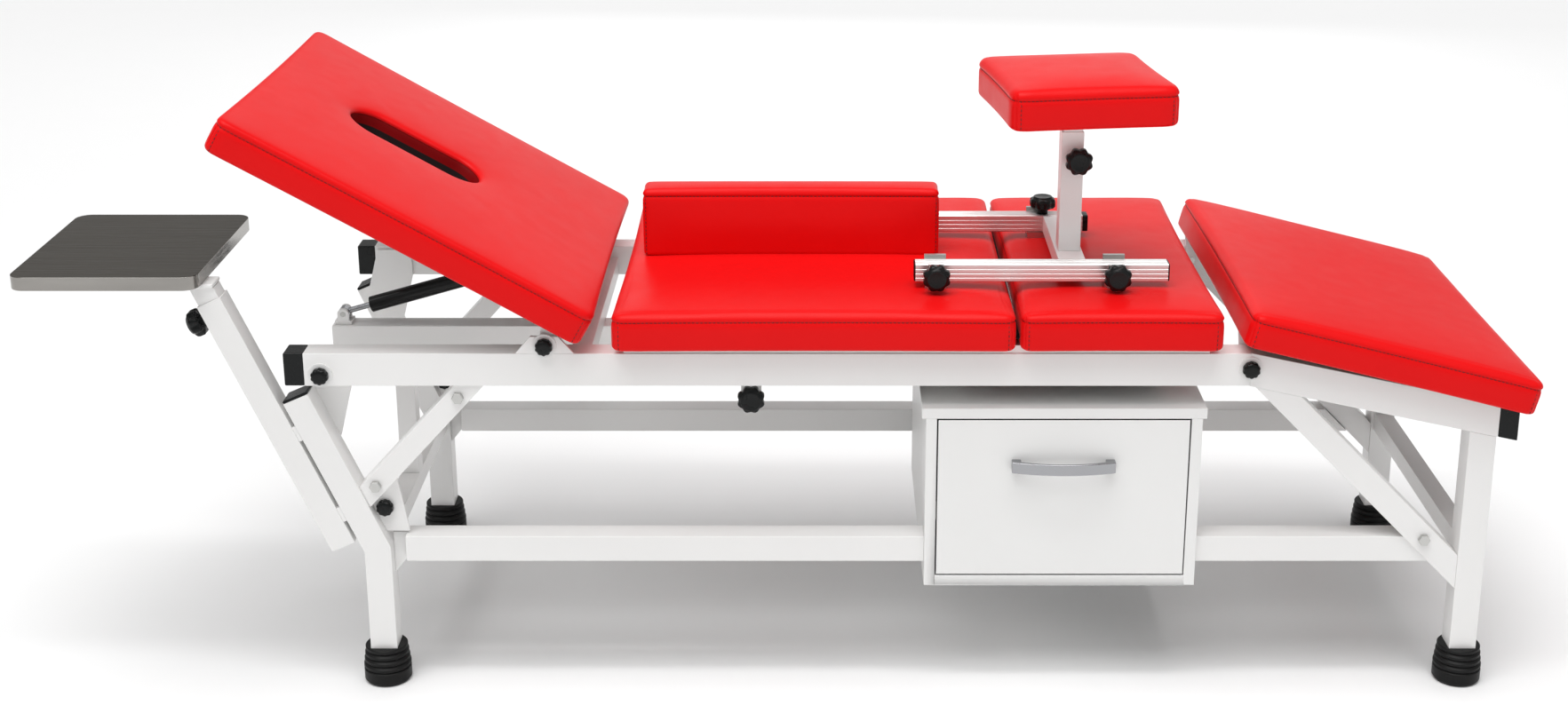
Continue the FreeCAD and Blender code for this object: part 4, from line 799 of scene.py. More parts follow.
@dataclass
class SlottedCushion(Cushion):
    """A cushion with a round-ended slot through it, made of rings from its underside to the slot.

    Attributes:
        slot_length: Length of the slot along the cushion.
        slot_width: Width of the slot.
        slot_offset: Place of the slot's middle along the length.
        flare: How much wider the slot's mouth is than its foot, all round.
        turns: Directions of each corner, in degrees from its start, close together at the corner seam.
        spans: Rings on the top between the rolled edge and the slot.
        lip: Width of the top's soft edge round the slot.
        wall_rows: Rings down the slot: share of the flare, further growth and drop from the top.
        tuck: How far the cover draws in at the slot's foot.
        sill: Height of that foot, and how far the cover lies back from the slot at the board.
        under_spans: Rings on the underside between the slot and the recess's edge.
    """

    LIP_SINK = 0.5
    LIP_POWER = 6
    BASE_TURNS = (0, 30, 60, 90)
    SIDE_ROWS = 5
    SEAM_TURN = 45
    COVER_ROWS = 3
    WALL_SHADE_ROWS = 5
    BASE_ROWS = 6
    ROLL_ROWS = 3

    slot_length: float = 0.2
    slot_width: float = 0.075
    slot_offset: float = 0.0
    flare: float = 0.009
    turns: tuple[float, ...] = (0, 18, 33, 41, 45, 49, 57, 72, 90)
    spans: int = 14
    lip: float = 0.012
    wall_rows: tuple[tuple[float, float, float], ...] = (
        (1.0, 0.006, 0.0012), (1.0, 0.0018, 0.004), (1.0, 0.0, 0.0076), (1.0, 0.003, 0.0092),
        (1.0, 0.0, 0.0108), (0.75, 0.0, 0.022))
    tuck: float = 0.0004
    sill: float = 0.0006
    under_spans: int = 8

    def outline(self) -> list[tuple[Vector, Vector, bool]]:
        """Walk once round the plan.

        Returns:
            Stations with their outward direction, and whether a corner seam passes there.
        """
        half_x, half_y = self.length / 2 - self.corner, self.width / 2 - self.corner
        corners = [Vector((x * half_x, y * half_y, 0.0)) for x, y in ((1, -1), (1, 1), (-1, 1), (-1, -1))]
        lap: list[tuple[Vector, Vector, bool]] = []
        for quarter, corner in enumerate(corners):
            for turn in self.turns:
                angle = math.radians(90.0 * quarter - 90.0 + turn)
                lap.append((corner, Vector((math.cos(angle), math.sin(angle), 0.0)), turn == self.SEAM_TURN))
            beyond = corners[(quarter + 1) % 4]
            count = round((beyond - corner).length / self.step)
            lap += [(corner.lerp(beyond, step / count), lap[-1][1], False) for step in range(1, count)]
        return lap

    def ring(self, lap: Sequence[tuple[Vector, Vector, bool]], inset: float, height: float,
             sewn: bool) -> list[Vector]:
        """One level of the rim, with the sides drawn in.

        Args:
            lap: Stations round the plan.
            inset: Distance in from the side.
            height: Height above the base.
            sewn: True where the corner seams cut in.

        Returns:
            The ring's points.
        """
        points: list[Vector] = []
        for station, out, seam in lap:
            deep = inset + (self.CORNER_CUT * self.groove if seam and sewn else 0.0)
            spot = station + out * (self.corner - deep)
            pull_x = self.draw * out.x * (1 - (2 * spot.y / self.width) ** 2)
            pull_y = self.draw * out.y * (1 - (2 * spot.x / self.length) ** 2)
            points.append(Vector((spot.x - pull_x, spot.y - pull_y, height)))
        return points

    def mouth(self, outer: Vector, grow: float) -> Vector:
        """The point of the slot's outline in line with a rim point.

        Args:
            outer: Rim point that gives the direction.
            grow: How far the outline is pushed out.

        Returns:
            The point, at the height of the crowned top's edge there.
        """
        angle = math.atan2(outer.y, outer.x - self.slot_offset)
        radius = self.slot_width / 2 + grow
        reach = (self.slot_length - self.slot_width) / 2
        along, across = abs(math.cos(angle)), abs(math.sin(angle))
        span = radius / across if across > TINY else math.inf
        if span * along > reach:
            span = reach * along + math.sqrt(max(radius ** 2 - (reach * across) ** 2, 0.0))
        x, y = self.slot_offset + span * math.cos(angle), span * math.sin(angle)
        return Vector((x, y, self.thick + self.LIP_SINK * self.rise(x, y)))

    def build(self) -> None:
        """Make the slotted block's mesh from rings, ready for its filling, and note its seams."""
        lap = self.outline()
        count = len(lap)
        rings, held = self.rim_rings(lap)
        rim = rings[-1]
        rings += self.top_rings(rim)
        wall = len(rings)
        rings += self.slot_rings(rim)
        under = rings[-1]
        rings += [[start.lerp(end, step / self.under_spans) for start, end in zip(under, rings[0])]
                  for step in range(1, self.under_spans)]
        self.piece = mesh_object(self.name, [point for ring in rings for point in ring],
                                 ring_faces(len(rings), count, closed=True))
        # Plain cover at the slot's mouth, then painted dark-red shade down the wall, then painted near-black
        # shade deepest in.
        for finish in (RED_LEATHERETTE, SLOT_WALL_SHADE, SLOT_DEPTH_SHADE):
            self.piece.data.materials.append(finish.material())
        for face in self.piece.data.polygons:
            row = face.index // count - wall
            face.material_index = 0 if row < self.COVER_ROWS else 1 if row < self.WALL_SHADE_ROWS else 2
        fixed = [row for row in range(len(rings))
                 if row < self.BASE_ROWS or row == held or row > held + self.ROLL_ROWS]
        self.piece.vertex_groups.new(name="seams").add(
            [row * count + spot for row in fixed for spot in range(count)], 1.0, "REPLACE")
        self.note_seams(self.lines(self.length / 2), self.lines(self.width / 2), self.levels())

    def rim_rings(self, lap: Sequence[tuple[Vector, Vector, bool]]) -> tuple[list[list[Vector]], int]:
        """Rings from the recess in the underside, round the side and over the rolled top edge.

        Args:
            lap: Stations round the plan.

        Returns:
            The rings, and the number of the one that holds the top seam.
        """
        depth, inset = self.recess
        seam, low, rolled = self.seam_level(), self.BASE_ROLL * self.edge, self.thick - self.edge
        quarter = [math.radians(angle) for angle in self.BASE_TURNS]
        side = np.linspace(low, seam - self.SEAM_HALF, self.SIDE_ROWS)[1:]
        rings = [self.ring(lap, inset, depth, False), self.ring(lap, inset - self.LEDGE, 0.0, False)]
        rings += [self.ring(lap, low - low * math.sin(a), low - low * math.cos(a), False) for a in quarter]
        rings += [self.ring(lap, 0.0, height, True) for height in side]
        held = len(rings)
        rings.append(self.ring(lap, self.groove, seam, True))
        rings.append(self.ring(lap, 0.0, seam + self.SEAM_HALF, False))
        rings += [self.ring(lap, self.edge - self.edge * math.cos(a), rolled + self.edge * math.sin(a), False)
                  for a in quarter[1:]]
        return rings, held

    def top_rings(self, rim: Sequence[Vector]) -> list[list[Vector]]:
        """Rings over the crowned top, from the rolled edge to the slot's soft edge.

        Args:
            rim: Ring at the inner line of the rolled edge.

        Returns:
            The rings.
        """
        rings: list[list[Vector]] = []
        lip = [self.mouth(point, self.flare + self.lip) for point in rim]
        for step in range(1, self.spans + 1):
            share = step / self.spans
            spots = [start.lerp(end, share) for start, end in zip(rim, lip)]
            crown = 1 - self.LIP_SINK * share ** self.LIP_POWER
            rings.append([Vector((spot.x, spot.y, self.thick + self.rise(spot.x, spot.y) * crown))
                          for spot in spots])
        return rings

    def slot_rings(self, rim: Sequence[Vector]) -> list[list[Vector]]:
        """Rings down the slot's wall and round its foot.

        Args:
            rim: Ring that gives the directions.

        Returns:
            The rings.
        """
        rings: list[list[Vector]] = []
        for share, grow, drop in (*self.wall_rows, (0.0, 0.0, self.thick - self.recess[0])):
            wide = share * self.flare + grow
            rings.append([self.mouth(point, wide) - Vector((0.0, 0.0, drop)) for point in rim])
        for grow, height in ((-self.tuck, self.sill), (self.sill, self.recess[0])):
            rings.append([Vector((*self.mouth(point, grow).xy, height)) for point in rim])
        return rings


class Filling:
    """Fills all cushions at once with a short cloth simulation and writes the capped result back."""

    WEAVE = {"quality": 6, "mass": 0.4, "tension_stiffness": 40, "compression_stiffness": 40,
             "shear_stiffness": 20, "bending_stiffness": 8, "air_damping": 4, "use_pressure": True,
             "uniform_pressure_force": 3.0, "vertex_group_mass": "seams"}

    def __init__(self, cushions: Sequence[Cushion], frames: int = 16, cap: float = 0.004,
                 passes: int = 8) -> None:
        """Keep the cushions to fill.

        Args:
            cushions: Built cushions.
            frames: Steps of the simulation.
            cap: Furthest that a point may move.
            passes: Rounds of evening out between neighbours, which keep the taut cover free of creases.
        """
        self.cushions = cushions
        self.frames = frames
        self.cap = cap
        self.passes = passes

    def run(self) -> None:
        """Simulate, cap each point's travel and leave plain meshes."""
        scene = bpy.context.scene
        rest: dict[str, np.ndarray] = {}
        for cushion in self.cushions:
            piece = cushion.piece
            rest[piece.name] = self.read(piece.data)
            cloth = piece.modifiers.new("filling", "CLOTH")
            for setting, value in self.WEAVE.items():
                setattr(cloth.settings, setting, value)
            cloth.settings.effector_weights.gravity = 0.0
            cloth.collision_settings.use_collision = False
            cloth.point_cache.frame_start = 1
            cloth.point_cache.frame_end = self.frames
        for step in range(1, self.frames + 1):
            scene.frame_set(step)
        graph = bpy.context.evaluated_depsgraph_get()
        for cushion in self.cushions:
            piece = cushion.piece
            filled = self.read(piece.evaluated_get(graph).data)
            move = filled - rest[piece.name]
            reach = np.linalg.norm(move, axis=1, keepdims=True)
            move *= np.minimum(1.0, self.cap / np.maximum(reach, TINY))
            move = self.even(piece, move)
            LOG.info("%s filled, largest move %.4f m", piece.name, float(np.abs(move).max()))
            piece.modifiers.clear()
            piece.data.vertices.foreach_set("co", (rest[piece.name] + move).astype(np.float32).ravel())
            piece.data.update()
        scene.frame_set(1)

    def even(self, piece: bpy.types.Object, move: np.ndarray) -> np.ndarray:
        """Even out how far neighbouring points moved, and leave the sewn points where they are.

        Args:
            piece: Cushion that was filled.
            move: Travel of each point.

        Returns:
            The evened travel.
        """
        ends = np.zeros(len(piece.data.edges) * 2, np.int32)
        piece.data.edges.foreach_get("vertices", ends)
        ends = ends.reshape(-1, 2)
        beside = np.bincount(ends.ravel(), minlength=len(move))[:, None]
        sewn = np.array([len(vert.groups) > 0 for vert in piece.data.vertices])
        for _ in range(self.passes):
            total = np.zeros_like(move)
            np.add.at(total, ends[:, 0], move[ends[:, 1]])
            np.add.at(total, ends[:, 1], move[ends[:, 0]])
            move = 0.5 * move + 0.5 * total / beside
            move[sewn] = 0.0
        return move

    @staticmethod
    def read(mesh: bpy.types.Mesh) -> np.ndarray:
        """Read a mesh's points into an array.

        Args:
            mesh: Mesh to read.

        Returns:
            Its points, one row each.
        """
        places = np.zeros(len(mesh.vertices) * 3, np.float32)
        mesh.vertices.foreach_get("co", places)
        return places.reshape(-1, 3).astype(float)


@dataclass(frozen=True)
class Rounding:
    """Solids that keep their shape and get rounded edges and a finish.

    Attributes:
        body: Body that they ride on.
        finish: Finish of their surface.
        width: Width of the rounding.
        nodes: Solids to copy.
    """

    body: str
    finish: Finish
    width: float
    nodes: tuple[str, ...]

    SEGMENTS = 3
    FLAT_ANGLE = 0.5
    SHARP_ANGLE = 40.0

    def build(self) -> list[bpy.types.Object]:
        """Copy each solid with its edges rounded.

        Returns:
            The copies, dressed.
        """
        return [self.copy(node) for node in self.nodes]

    def copy(self, node: str) -> bpy.types.Object:
        """Make a copy of a solid with its edges rounded.

        Args:
            node: Solid to copy.

        Returns:
            The copy, dressed.
        """
        mesh = bpy.data.objects[node].data.copy()
        mesh.materials.clear()
        bench = bmesh.new()
        bench.from_mesh(mesh)
        bmesh.ops.remove_doubles(bench, verts=bench.verts, dist=MERGE_DISTANCE)
        bmesh.ops.dissolve_limit(bench, angle_limit=math.radians(self.FLAT_ANGLE), verts=bench.verts,
                                 edges=bench.edges)
        bench.to_mesh(mesh)
        bench.free()
        mesh.shade_smooth()
        piece = link(bpy.data.objects.new(node + "_rounded", mesh))
        bevel = piece.modifiers.new("rounding", "BEVEL")
        bevel.width = self.width
        bevel.segments = self.SEGMENTS
        bevel.limit_method = "ANGLE"
        bevel.angle_limit = math.radians(self.SHARP_ANGLE)
        bevel.use_clamp_overlap = True
        even = piece.modifiers.new("even", "WEIGHTED_NORMAL")
        even.keep_sharp = True
        return dress(piece, self.finish, self.body, node)


@dataclass
class StarKnob:
    """A lobed knob with a flat disc on top and a hub below.

    Attributes:
        name: Name of the piece.
        node: Solid that it replaces.
        body: Body that it rides on.
        seat: Where its hub meets its seat.
        axis: Direction that it stands off along.
        radius: Largest radius.
        height: Height of the lobed head.
        stem: Length of the hub.
        lobes: Number of lobes.
        steps: Points in each ring.
    """

    LOBE_DEPTH = 0.13
    LOBE_POWER = 1.6
    HUB = 0.0085
    COLLAR = 0.0105

    name: str
    node: str
    body: str
    seat: Vector
    axis: Vector
    radius: float = 0.0208
    height: float = 0.0165
    stem: float = 0.009
    lobes: int = 8
    steps: int = 128

    def profile(self) -> list[tuple[float, float, float]]:
        """Rings of the knob from its hub to the disc on top.

        Returns:
            A height, a radius and how strongly the lobes show, for each ring.
        """
        r, low, high = self.radius, self.stem, self.stem + self.height
        return [(0.0, self.HUB, 0.0), (low * 0.55, self.HUB, 0.0), (low * 0.8, self.COLLAR, 0.0),
                (low, 0.6 * r, 0.2), (low + 0.0012, 0.9 * r, 0.8), (low + 0.004, r, 1.0),
                (high - 0.005, r, 1.0), (high - 0.002, 0.95 * r, 0.9), (high - 0.0006, 0.86 * r, 0.5),
                (high - 0.0002, 0.76 * r, 0.08), (high + 0.0012, 0.72 * r, 0.0),
                (high + 0.0024, 0.69 * r, 0.0), (high + 0.0028, 0.63 * r, 0.0),
                (high + 0.0022, 0.52 * r, 0.0), (high + 0.002, 0.1 * r, 0.0)]

    def shell(self) -> tuple[list[Vector], list[Face]]:
        """Turn the rings round the axis, with the lobes cut in.

        Returns:
            The knob's points and faces, in place.
        """
        turn = self.axis.to_track_quat("Z", "Y").to_matrix().to_4x4()
        place = Matrix.Translation(self.seat) @ turn
        verts: list[Vector] = []
        rings = self.profile()
        for height, radius, depth in rings:
            for step in range(self.steps):
                angle = 2 * math.pi * step / self.steps
                wave = abs(math.sin(angle * self.lobes / 2)) ** self.LOBE_POWER
                reach = radius * (1 - self.LOBE_DEPTH * depth * (1 - wave))
                verts.append(place @ Vector((reach * math.cos(angle), reach * math.sin(angle), height)))
        return verts, ring_faces(len(rings), self.steps) + end_faces(len(rings), self.steps)

    def build(self) -> bpy.types.Object:
        """Make the knob's mesh in its place and dress it.

        Returns:
            The knob.
        """
        return dress(mesh_object(self.name, *self.shell()), BLACK_PLASTIC, self.body, self.node)


@dataclass
class BoltCap(StarKnob):
    """A small domed cap with shallow lobes."""

    lobes: int = 10
    steps: int = 80

    def profile(self) -> list[tuple[float, float, float]]:
        """Rings of the cap from its rim to the top of its dome.

        Returns:
            A height, a radius and how strongly the lobes show, for each ring.
        """
        r, high = self.radius, self.height
        return [(0.0, 0.88 * r, 0.0), (0.0008, 0.97 * r, 0.4), (0.0022, r, 0.8), (0.5 * high, r, 0.8),
                (0.68 * high, 0.96 * r, 0.7), (0.82 * high, 0.86 * r, 0.4), (0.93 * high, 0.7 * r, 0.1),
                (0.985 * high, 0.5 * r, 0.0), (high, 0.28 * r, 0.0), (high, 0.05 * r, 0.0)]


@dataclass
class BoltCaps:
    """The caps on the frame's bolts, one for each separate body of their solid."""

    node: str = "bolt_caps"

    END_DEPTH = 1e-5

    def islands(self) -> list[list[Vector]]:
        """Split the solid's points into its separate caps.

        Returns:
            The points of each cap.
        """
        bench = bmesh.new()
        bench.from_mesh(bpy.data.objects[self.node].data)
        bmesh.ops.remove_doubles(bench, verts=bench.verts, dist=MERGE_DISTANCE)
        bench.verts.index_update()
        seen: set[int] = set()
        found: list[list[Vector]] = []
        for start in bench.verts:
            if start.index in seen:
                continue
            seen.add(start.index)
            queue, group = [start], []
            while queue:
                vert = queue.pop()
                group.append(vert.co.copy())
                for edge in vert.link_edges:
                    other = edge.other_vert(vert)
                    if other.index not in seen:
                        seen.add(other.index)
                        queue.append(other)
            found.append(group)
        bench.free()
        return found

    def build(self) -> None:
        """Make a lobed cap in the place of each plain one, with its dome at the narrower end."""
        caps = Shells()
        for group in self.islands():
            left, low, foot = (min(point[way] for point in group) for way in range(3))
            right, high, head = (max(point[way] for point in group) for way in range(3))
            near = max(point.x for point in group if point.y - low < self.END_DEPTH)
            far = max(point.x for point in group if high - point.y < self.END_DEPTH)
            way, base = (-1.0, high) if near < far else (1.0, low)
            middle = Vector(((left + right) / 2, base, (foot + head) / 2))
            caps.add(*BoltCap("cap", self.node, "frame", middle, Vector((0.0, way, 0.0)), (right - left) / 2,
                              high - low).shell())
        dress(mesh_object("bolt_caps_lobed", caps.verts, caps.faces), BLACK_PLASTIC, "frame", self.node)


@dataclass
class GapShadeStrip:
    """A sagging black strip under the gap between the two seat cushions: a dark sheet that paints the shade
    in that gap.

    Attributes:
        length: Length across the bed.
        overlap: How far it reaches into each cushion.
        lift: Height of its edges above the cushions' base.
        sag: Drop of its middle.
        wall: Thickness.
        rows: Faces along it.
        steps: Faces across it.
    """

    length: float
    overlap: float = 0.0015
    lift: float = 0.016
    sag: float = 0.004
    wall: float = 0.0015
    rows: int = 40
    steps: int = 8

    def build(self) -> None:
        """Lay the strip from the lumbar cushion to the pelvic one."""
        _, lumbar_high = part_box("lumbar_cushion")
        pelvic_low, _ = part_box("pelvic_cushion")
        start, end = lumbar_high.x - self.overlap, pelvic_low.x + self.overlap
        verts: list[Vector] = []
        for row in range(self.rows + 1):
            y = self.length * (row / self.rows - 0.5)
            for step in range(self.steps + 1):
                share = step / self.steps
                drop = self.sag * (1 - (2 * share - 1) ** 2)
                verts.append(Vector((start + (end - start) * share, y, pelvic_low.z + self.lift - drop)))
        wide = self.steps + 1
        faces = [(row * wide + step, row * wide + step + 1,
                  (row + 1) * wide + step + 1, (row + 1) * wide + step)
                 for row in range(self.rows) for step in range(self.steps)]
        strip = mesh_object("seat_gap_strip", verts, faces)
        strip.modifiers.new("wall", "SOLIDIFY").thickness = self.wall
        dress(strip, BLACK_RUBBER, "carriage")


@dataclass
class Upholstery:
    """All cushions of the bed.

    Attributes:
        joints: Joints by name, whose axes the tilted cushions are placed from.
        width: Width of the large cushions.
        thick: Height of the seat cushions' rolled edge.
        bolster_thick: Height of the bolster's rolled edge.
        backrest_tilt: Tilt of the backrest at rest, in degrees.
        backrest_size: Length of its cushion and height of the rolled edge.
        backrest_place: Its middle along the backrest and its base above the hinge.
        slot_offset: Middle of the breathing slot along the backrest's cushion.
        foot_tilt: Tilt of the foot rest at rest, in degrees.
        foot_size: Length of its cushion and height of the rolled edge.
        foot_place: Its middle along the foot rest and its base above the hinge.
        stool_yaw: Turn of the stool's cushion at rest, in degrees.
        stool_size: Side of its cushion and height of the rolled edge.
        stool_place: Its middle off the post's axis and its base above the joint.
        strip_inset: How much shorter the black strip that paints the shade in the seat's gap is than the seat
            is wide.
    """

    joints: dict[str, dict]
    width: float = 0.62
    thick: float = 0.055
    bolster_thick: float = 0.105
    backrest_tilt: float = 29.7
    backrest_size: tuple[float, float] = (0.594, 0.053)
    backrest_place: tuple[float, float] = (-0.255, 0.0316)
    slot_offset: float = -0.05
    foot_tilt: float = 14.2
    foot_size: tuple[float, float] = (0.442, 0.051)
    foot_place: tuple[float, float] = (0.194, 0.0376)
    stool_yaw: float = 8.0
    stool_size: tuple[float, float] = (0.25, 0.059)
    stool_place: tuple[float, float] = (0.004, 0.0083)
    strip_inset: float = 0.05

    def level(self, node: str) -> tuple[Matrix, float, float]:
        """Base centre and plan sizes of a cushion that lies level.

        Args:
            node: Solid that it replaces.

        Returns:
            Its place, length and width.
        """
        low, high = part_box(node)
        middle = Vector(((low.x + high.x) / 2, (low.y + high.y) / 2, low.z))
        return Matrix.Translation(middle), high.x - low.x, high.y - low.y

    def hinged(self, joint: str, axis: str, turn: float, along: float, rise: float) -> Matrix:
        """Place of a cushion that is turned about a joint.

        Args:
            joint: Name of the joint.
            axis: Axis of the turn.
            turn: Turn about that axis in degrees.
            along: Its middle along the turned X.
            rise: Its base above the joint, square to the turned X.

        Returns:
            The place of its base centre.
        """
        pivot = Matrix.Translation(self.joints[joint]["pos_m"]) @ Matrix.Rotation(math.radians(turn), 4, axis)
        return pivot @ Matrix.Translation((along, 0.0, rise))

    def build(self) -> None:
        """Make, fill and sew every cushion."""
        cushions: list[Cushion] = []
        for part in ("lumbar", "pelvic"):
            place, length, _ = self.level(part + "_cushion")
            cushions.append(Cushion(part + "_pad", part + "_cushion", "carriage", length, self.width,
                                    self.thick, place))
        length, thick = self.foot_size
        place = self.hinged("foot_rest_lift", "Y", self.foot_tilt, *self.foot_place)
        cushions.append(Cushion("foot_pad", "foot_cushion", "foot_rest", length, self.width, thick, place))
        place, length, width = self.level("bolster")
        cushions.append(Cushion("bolster_pad", "bolster", "bolster", length, width, self.bolster_thick, place,
                                corner=0.01, edge=0.008, crown=0.002, draw=0.002, step=0.011,
                                recess=(0.0, 0.0)))
        side, thick = self.stool_size
        place = self.hinged("stool_swivel", "Z", self.stool_yaw, *self.stool_place)
        cushions.append(Cushion("stool_pad", "stool_cushion", "stool_seat", side, side, thick, place,
                                corner=0.024, edge=0.012, step=0.011, recess=(0.0, 0.0)))
        length, thick = self.backrest_size
        place = self.hinged("backrest_tilt", "Y", self.backrest_tilt, *self.backrest_place)
        cushions.append(SlottedCushion("backrest_pad", "backrest_cushion", "backrest", length, self.width,
                                       thick, place, crown=0.007, slot_offset=self.slot_offset))
        for cushion in cushions:
            cushion.build()
        Filling(cushions).run()
        for cushion in cushions:
            cushion.finish()
        # A black strip under the seat's gap paints the shade there.
        GapShadeStrip(self.width - self.strip_inset).build()


@dataclass
class BedFrame:
    """Tubes, plates, plugs and bolts of the standing frame."""

    tubes: Rounding = Rounding("frame", WHITE_PAINT, 0.0026, (
        "side_rails", "foot_rails", "head_legs", "foot_legs", "head_braces", "foot_braces", "stretchers",
        "leg_cross_tubes", "rail_cross_tubes", "centre_beam", "beam_post", "tray_sleeve"))
    plates: Rounding = Rounding("frame", WHITE_PAINT, 0.0008, (
        "gusset_plates", "backrest_hinge_plates", "spring_clevis", "cabinet_hangers"))
    plugs: Rounding = Rounding("frame", BLACK_PLASTIC, 0.003, ("end_plugs",))
    bolts: Rounding = Rounding("frame", ZINC, 0.0008, ("brace_bolts",))

    def build(self) -> None:
        """Round the edges of the frame's pieces and dress them."""
        for pieces in (self.tubes, self.plates, self.plugs, self.bolts):
            pieces.build()


@dataclass
class Cabinet:
    """Boards of the hanging cabinet, and its drawer."""

    boards: Rounding = Rounding("frame", LAMINATE, 0.0008, ("cabinet_boards",))
    front: Rounding = Rounding("drawer", LAMINATE, 0.0009, ("drawer_front",))
    box: Rounding = Rounding("drawer", LAMINATE, 0.0006, ("drawer_box",))
    handle: Rounding = Rounding("drawer", CHROME, 0.0012, ("drawer_handle",))

    FACING = 0.5

    def build(self) -> None:
        """Round the boards' edges and the handle's, and make the side faces of the drawer's front black,
        which darkens the gap round it.
        """
        self.boards.build()
        front, = self.front.build()
        front.data.materials.append(BLACK_PLASTIC.material())
        for face in front.data.polygons:
            face.material_index = 0 if abs(face.normal.y) > self.FACING else 1
        self.box.build()
        self.handle.build()


@dataclass
class Tray:
    """The inverted steel pan, its top painted darker as shade and its rim painted brighter as highlight, and
    what carries it.
    """

    pan: Rounding = Rounding("tray", TRAY_TOP_SHADED, 0.0012, ("tray",))
    carriers: Rounding = Rounding("tray", WHITE_PAINT, 0.002, ("tray_post", "tray_arm"))

    FACING = 0.9

    def build(self) -> None:
        """Round the pan's edges and give the top and rim their own finishes: a darker top as painted shade
        and a brighter rim as painted highlight.
        """
        pan, = self.pan.build()
        pan.data.materials.append(TRAY_RIM_LIT.material())
        for face in pan.data.polygons:
            face.material_index = 0 if face.normal.z > self.FACING else 1
        self.carriers.build()


@dataclass
class SlideBar:
    """A ribbed bar of the stool's frame, extruded along X.

    Attributes:
        size: Side of the bar.
        chamfer: Width of the cut at its corners.
        grooves: Places of the grooves across each side.
        mouth: Half width of a groove at the surface.
        floor: Half width of a groove at its floor.
        depth: Depth of a groove.
        bore: Size of the hollow as a share of the outside.
    """

    size: float = 0.027
    chamfer: float = 0.0012
    grooves: tuple[float, ...] = (-0.0066, 0.0, 0.0066)
    mouth: float = 0.0016
    floor: float = 0.0009
    depth: float = 0.0009
    bore: float = 0.8

    def section(self) -> list[tuple[float, float]]:
        """Outline of one side with its grooves, turned round the four sides.

        Returns:
            The section's points round the bar's axis.
        """
        half = self.size / 2
        low = -half + self.depth
        side = [(-half + self.chamfer, -half)]
        for middle in self.grooves:
            side += [(middle - self.mouth, -half), (middle - self.floor, low), (middle + self.floor, low),
                     (middle + self.mouth, -half)]
        side.append((half - self.chamfer, -half))
        outline: list[tuple[float, float]] = []
        for cos, sin in ((1, 0), (0, 1), (-1, 0), (0, -1)):
            outline += [(a * cos - b * sin, a * sin + b * cos) for a, b in side]
        return outline

    def shell(self, head: float, foot: float, y: float, z: float) -> tuple[list[Vector], list[Face]]:
        """Make one bar with a thin wall between two ends.

        Args:
            head: Where the bar starts.
            foot: Where the bar ends.
            y: Place of the axis across the bed.
            z: Height of the axis.

        Returns:
            The bar's points and faces.
        """
        outer = self.section()
        inner = [(a * self.bore, b * self.bore) for a, b in outer]
        ends = ((outer, head), (outer, foot), (inner, foot), (inner, head))
        verts = [Vector((x, y + a, z + b)) for ring, x in ends for a, b in ring]
        return verts, ring_faces(len(ends), len(outer), closed=True)


@dataclass
class BarPlug:
    """A square plastic plug with rounded edges that closes the end of a slide bar.

    Attributes:
        size: Side of the plug.
        corner: Radius of its corners.
        edge: Radius of its face's edge.
        turns: Faces round each corner.
    """

    size: float = 0.0262
    corner: float = 0.0028
    edge: float = 0.0009
    turns: int = 6

    EASE = 0.3

    def ring(self, x: float, y: float, z: float, inset: float) -> list[Vector]:
        """One rounded square round the bar's axis.

        Args:
            x: Place along the bar.
            y: Place of the axis across the bed.
            z: Height of the axis.
            inset: How far the square is drawn in.

        Returns:
            The ring's points.
        """
        half, reach = self.size / 2 - self.corner, self.corner - inset
        points: list[Vector] = []
        for quarter, (side, up) in enumerate(((1, 1), (-1, 1), (-1, -1), (1, -1))):
            for step in range(self.turns + 1):
                angle = math.radians(90.0 * (quarter + step / self.turns))
                points.append(Vector((x, y + side * half + reach * math.cos(angle),
                                      z + up * half + reach * math.sin(angle))))
        return points

    def shell(self, start: float, end: float, y: float, z: float) -> tuple[list[Vector], list[Face]]:
        """Make a plug between two places along the bar, with its rounded face at the second one.

        Args:
            start: Where the plug meets the bar.
            end: Where the plug's face is.
            y: Place of the axis across the bed.
            z: Height of the axis.

        Returns:
            The plug's points and faces.
        """
        way = math.copysign(self.edge, end - start)
        rings = [self.ring(start, y, z, 0.0), self.ring(end - way, y, z, 0.0),
                 self.ring(end - self.EASE * way, y, z, self.EASE * self.edge),
                 self.ring(end, y, z, self.edge)]
        rows, count = len(rings), len(rings[0])
        faces = ring_faces(rows, count) + end_faces(rows, count)
        return [point for ring in rings for point in ring], faces


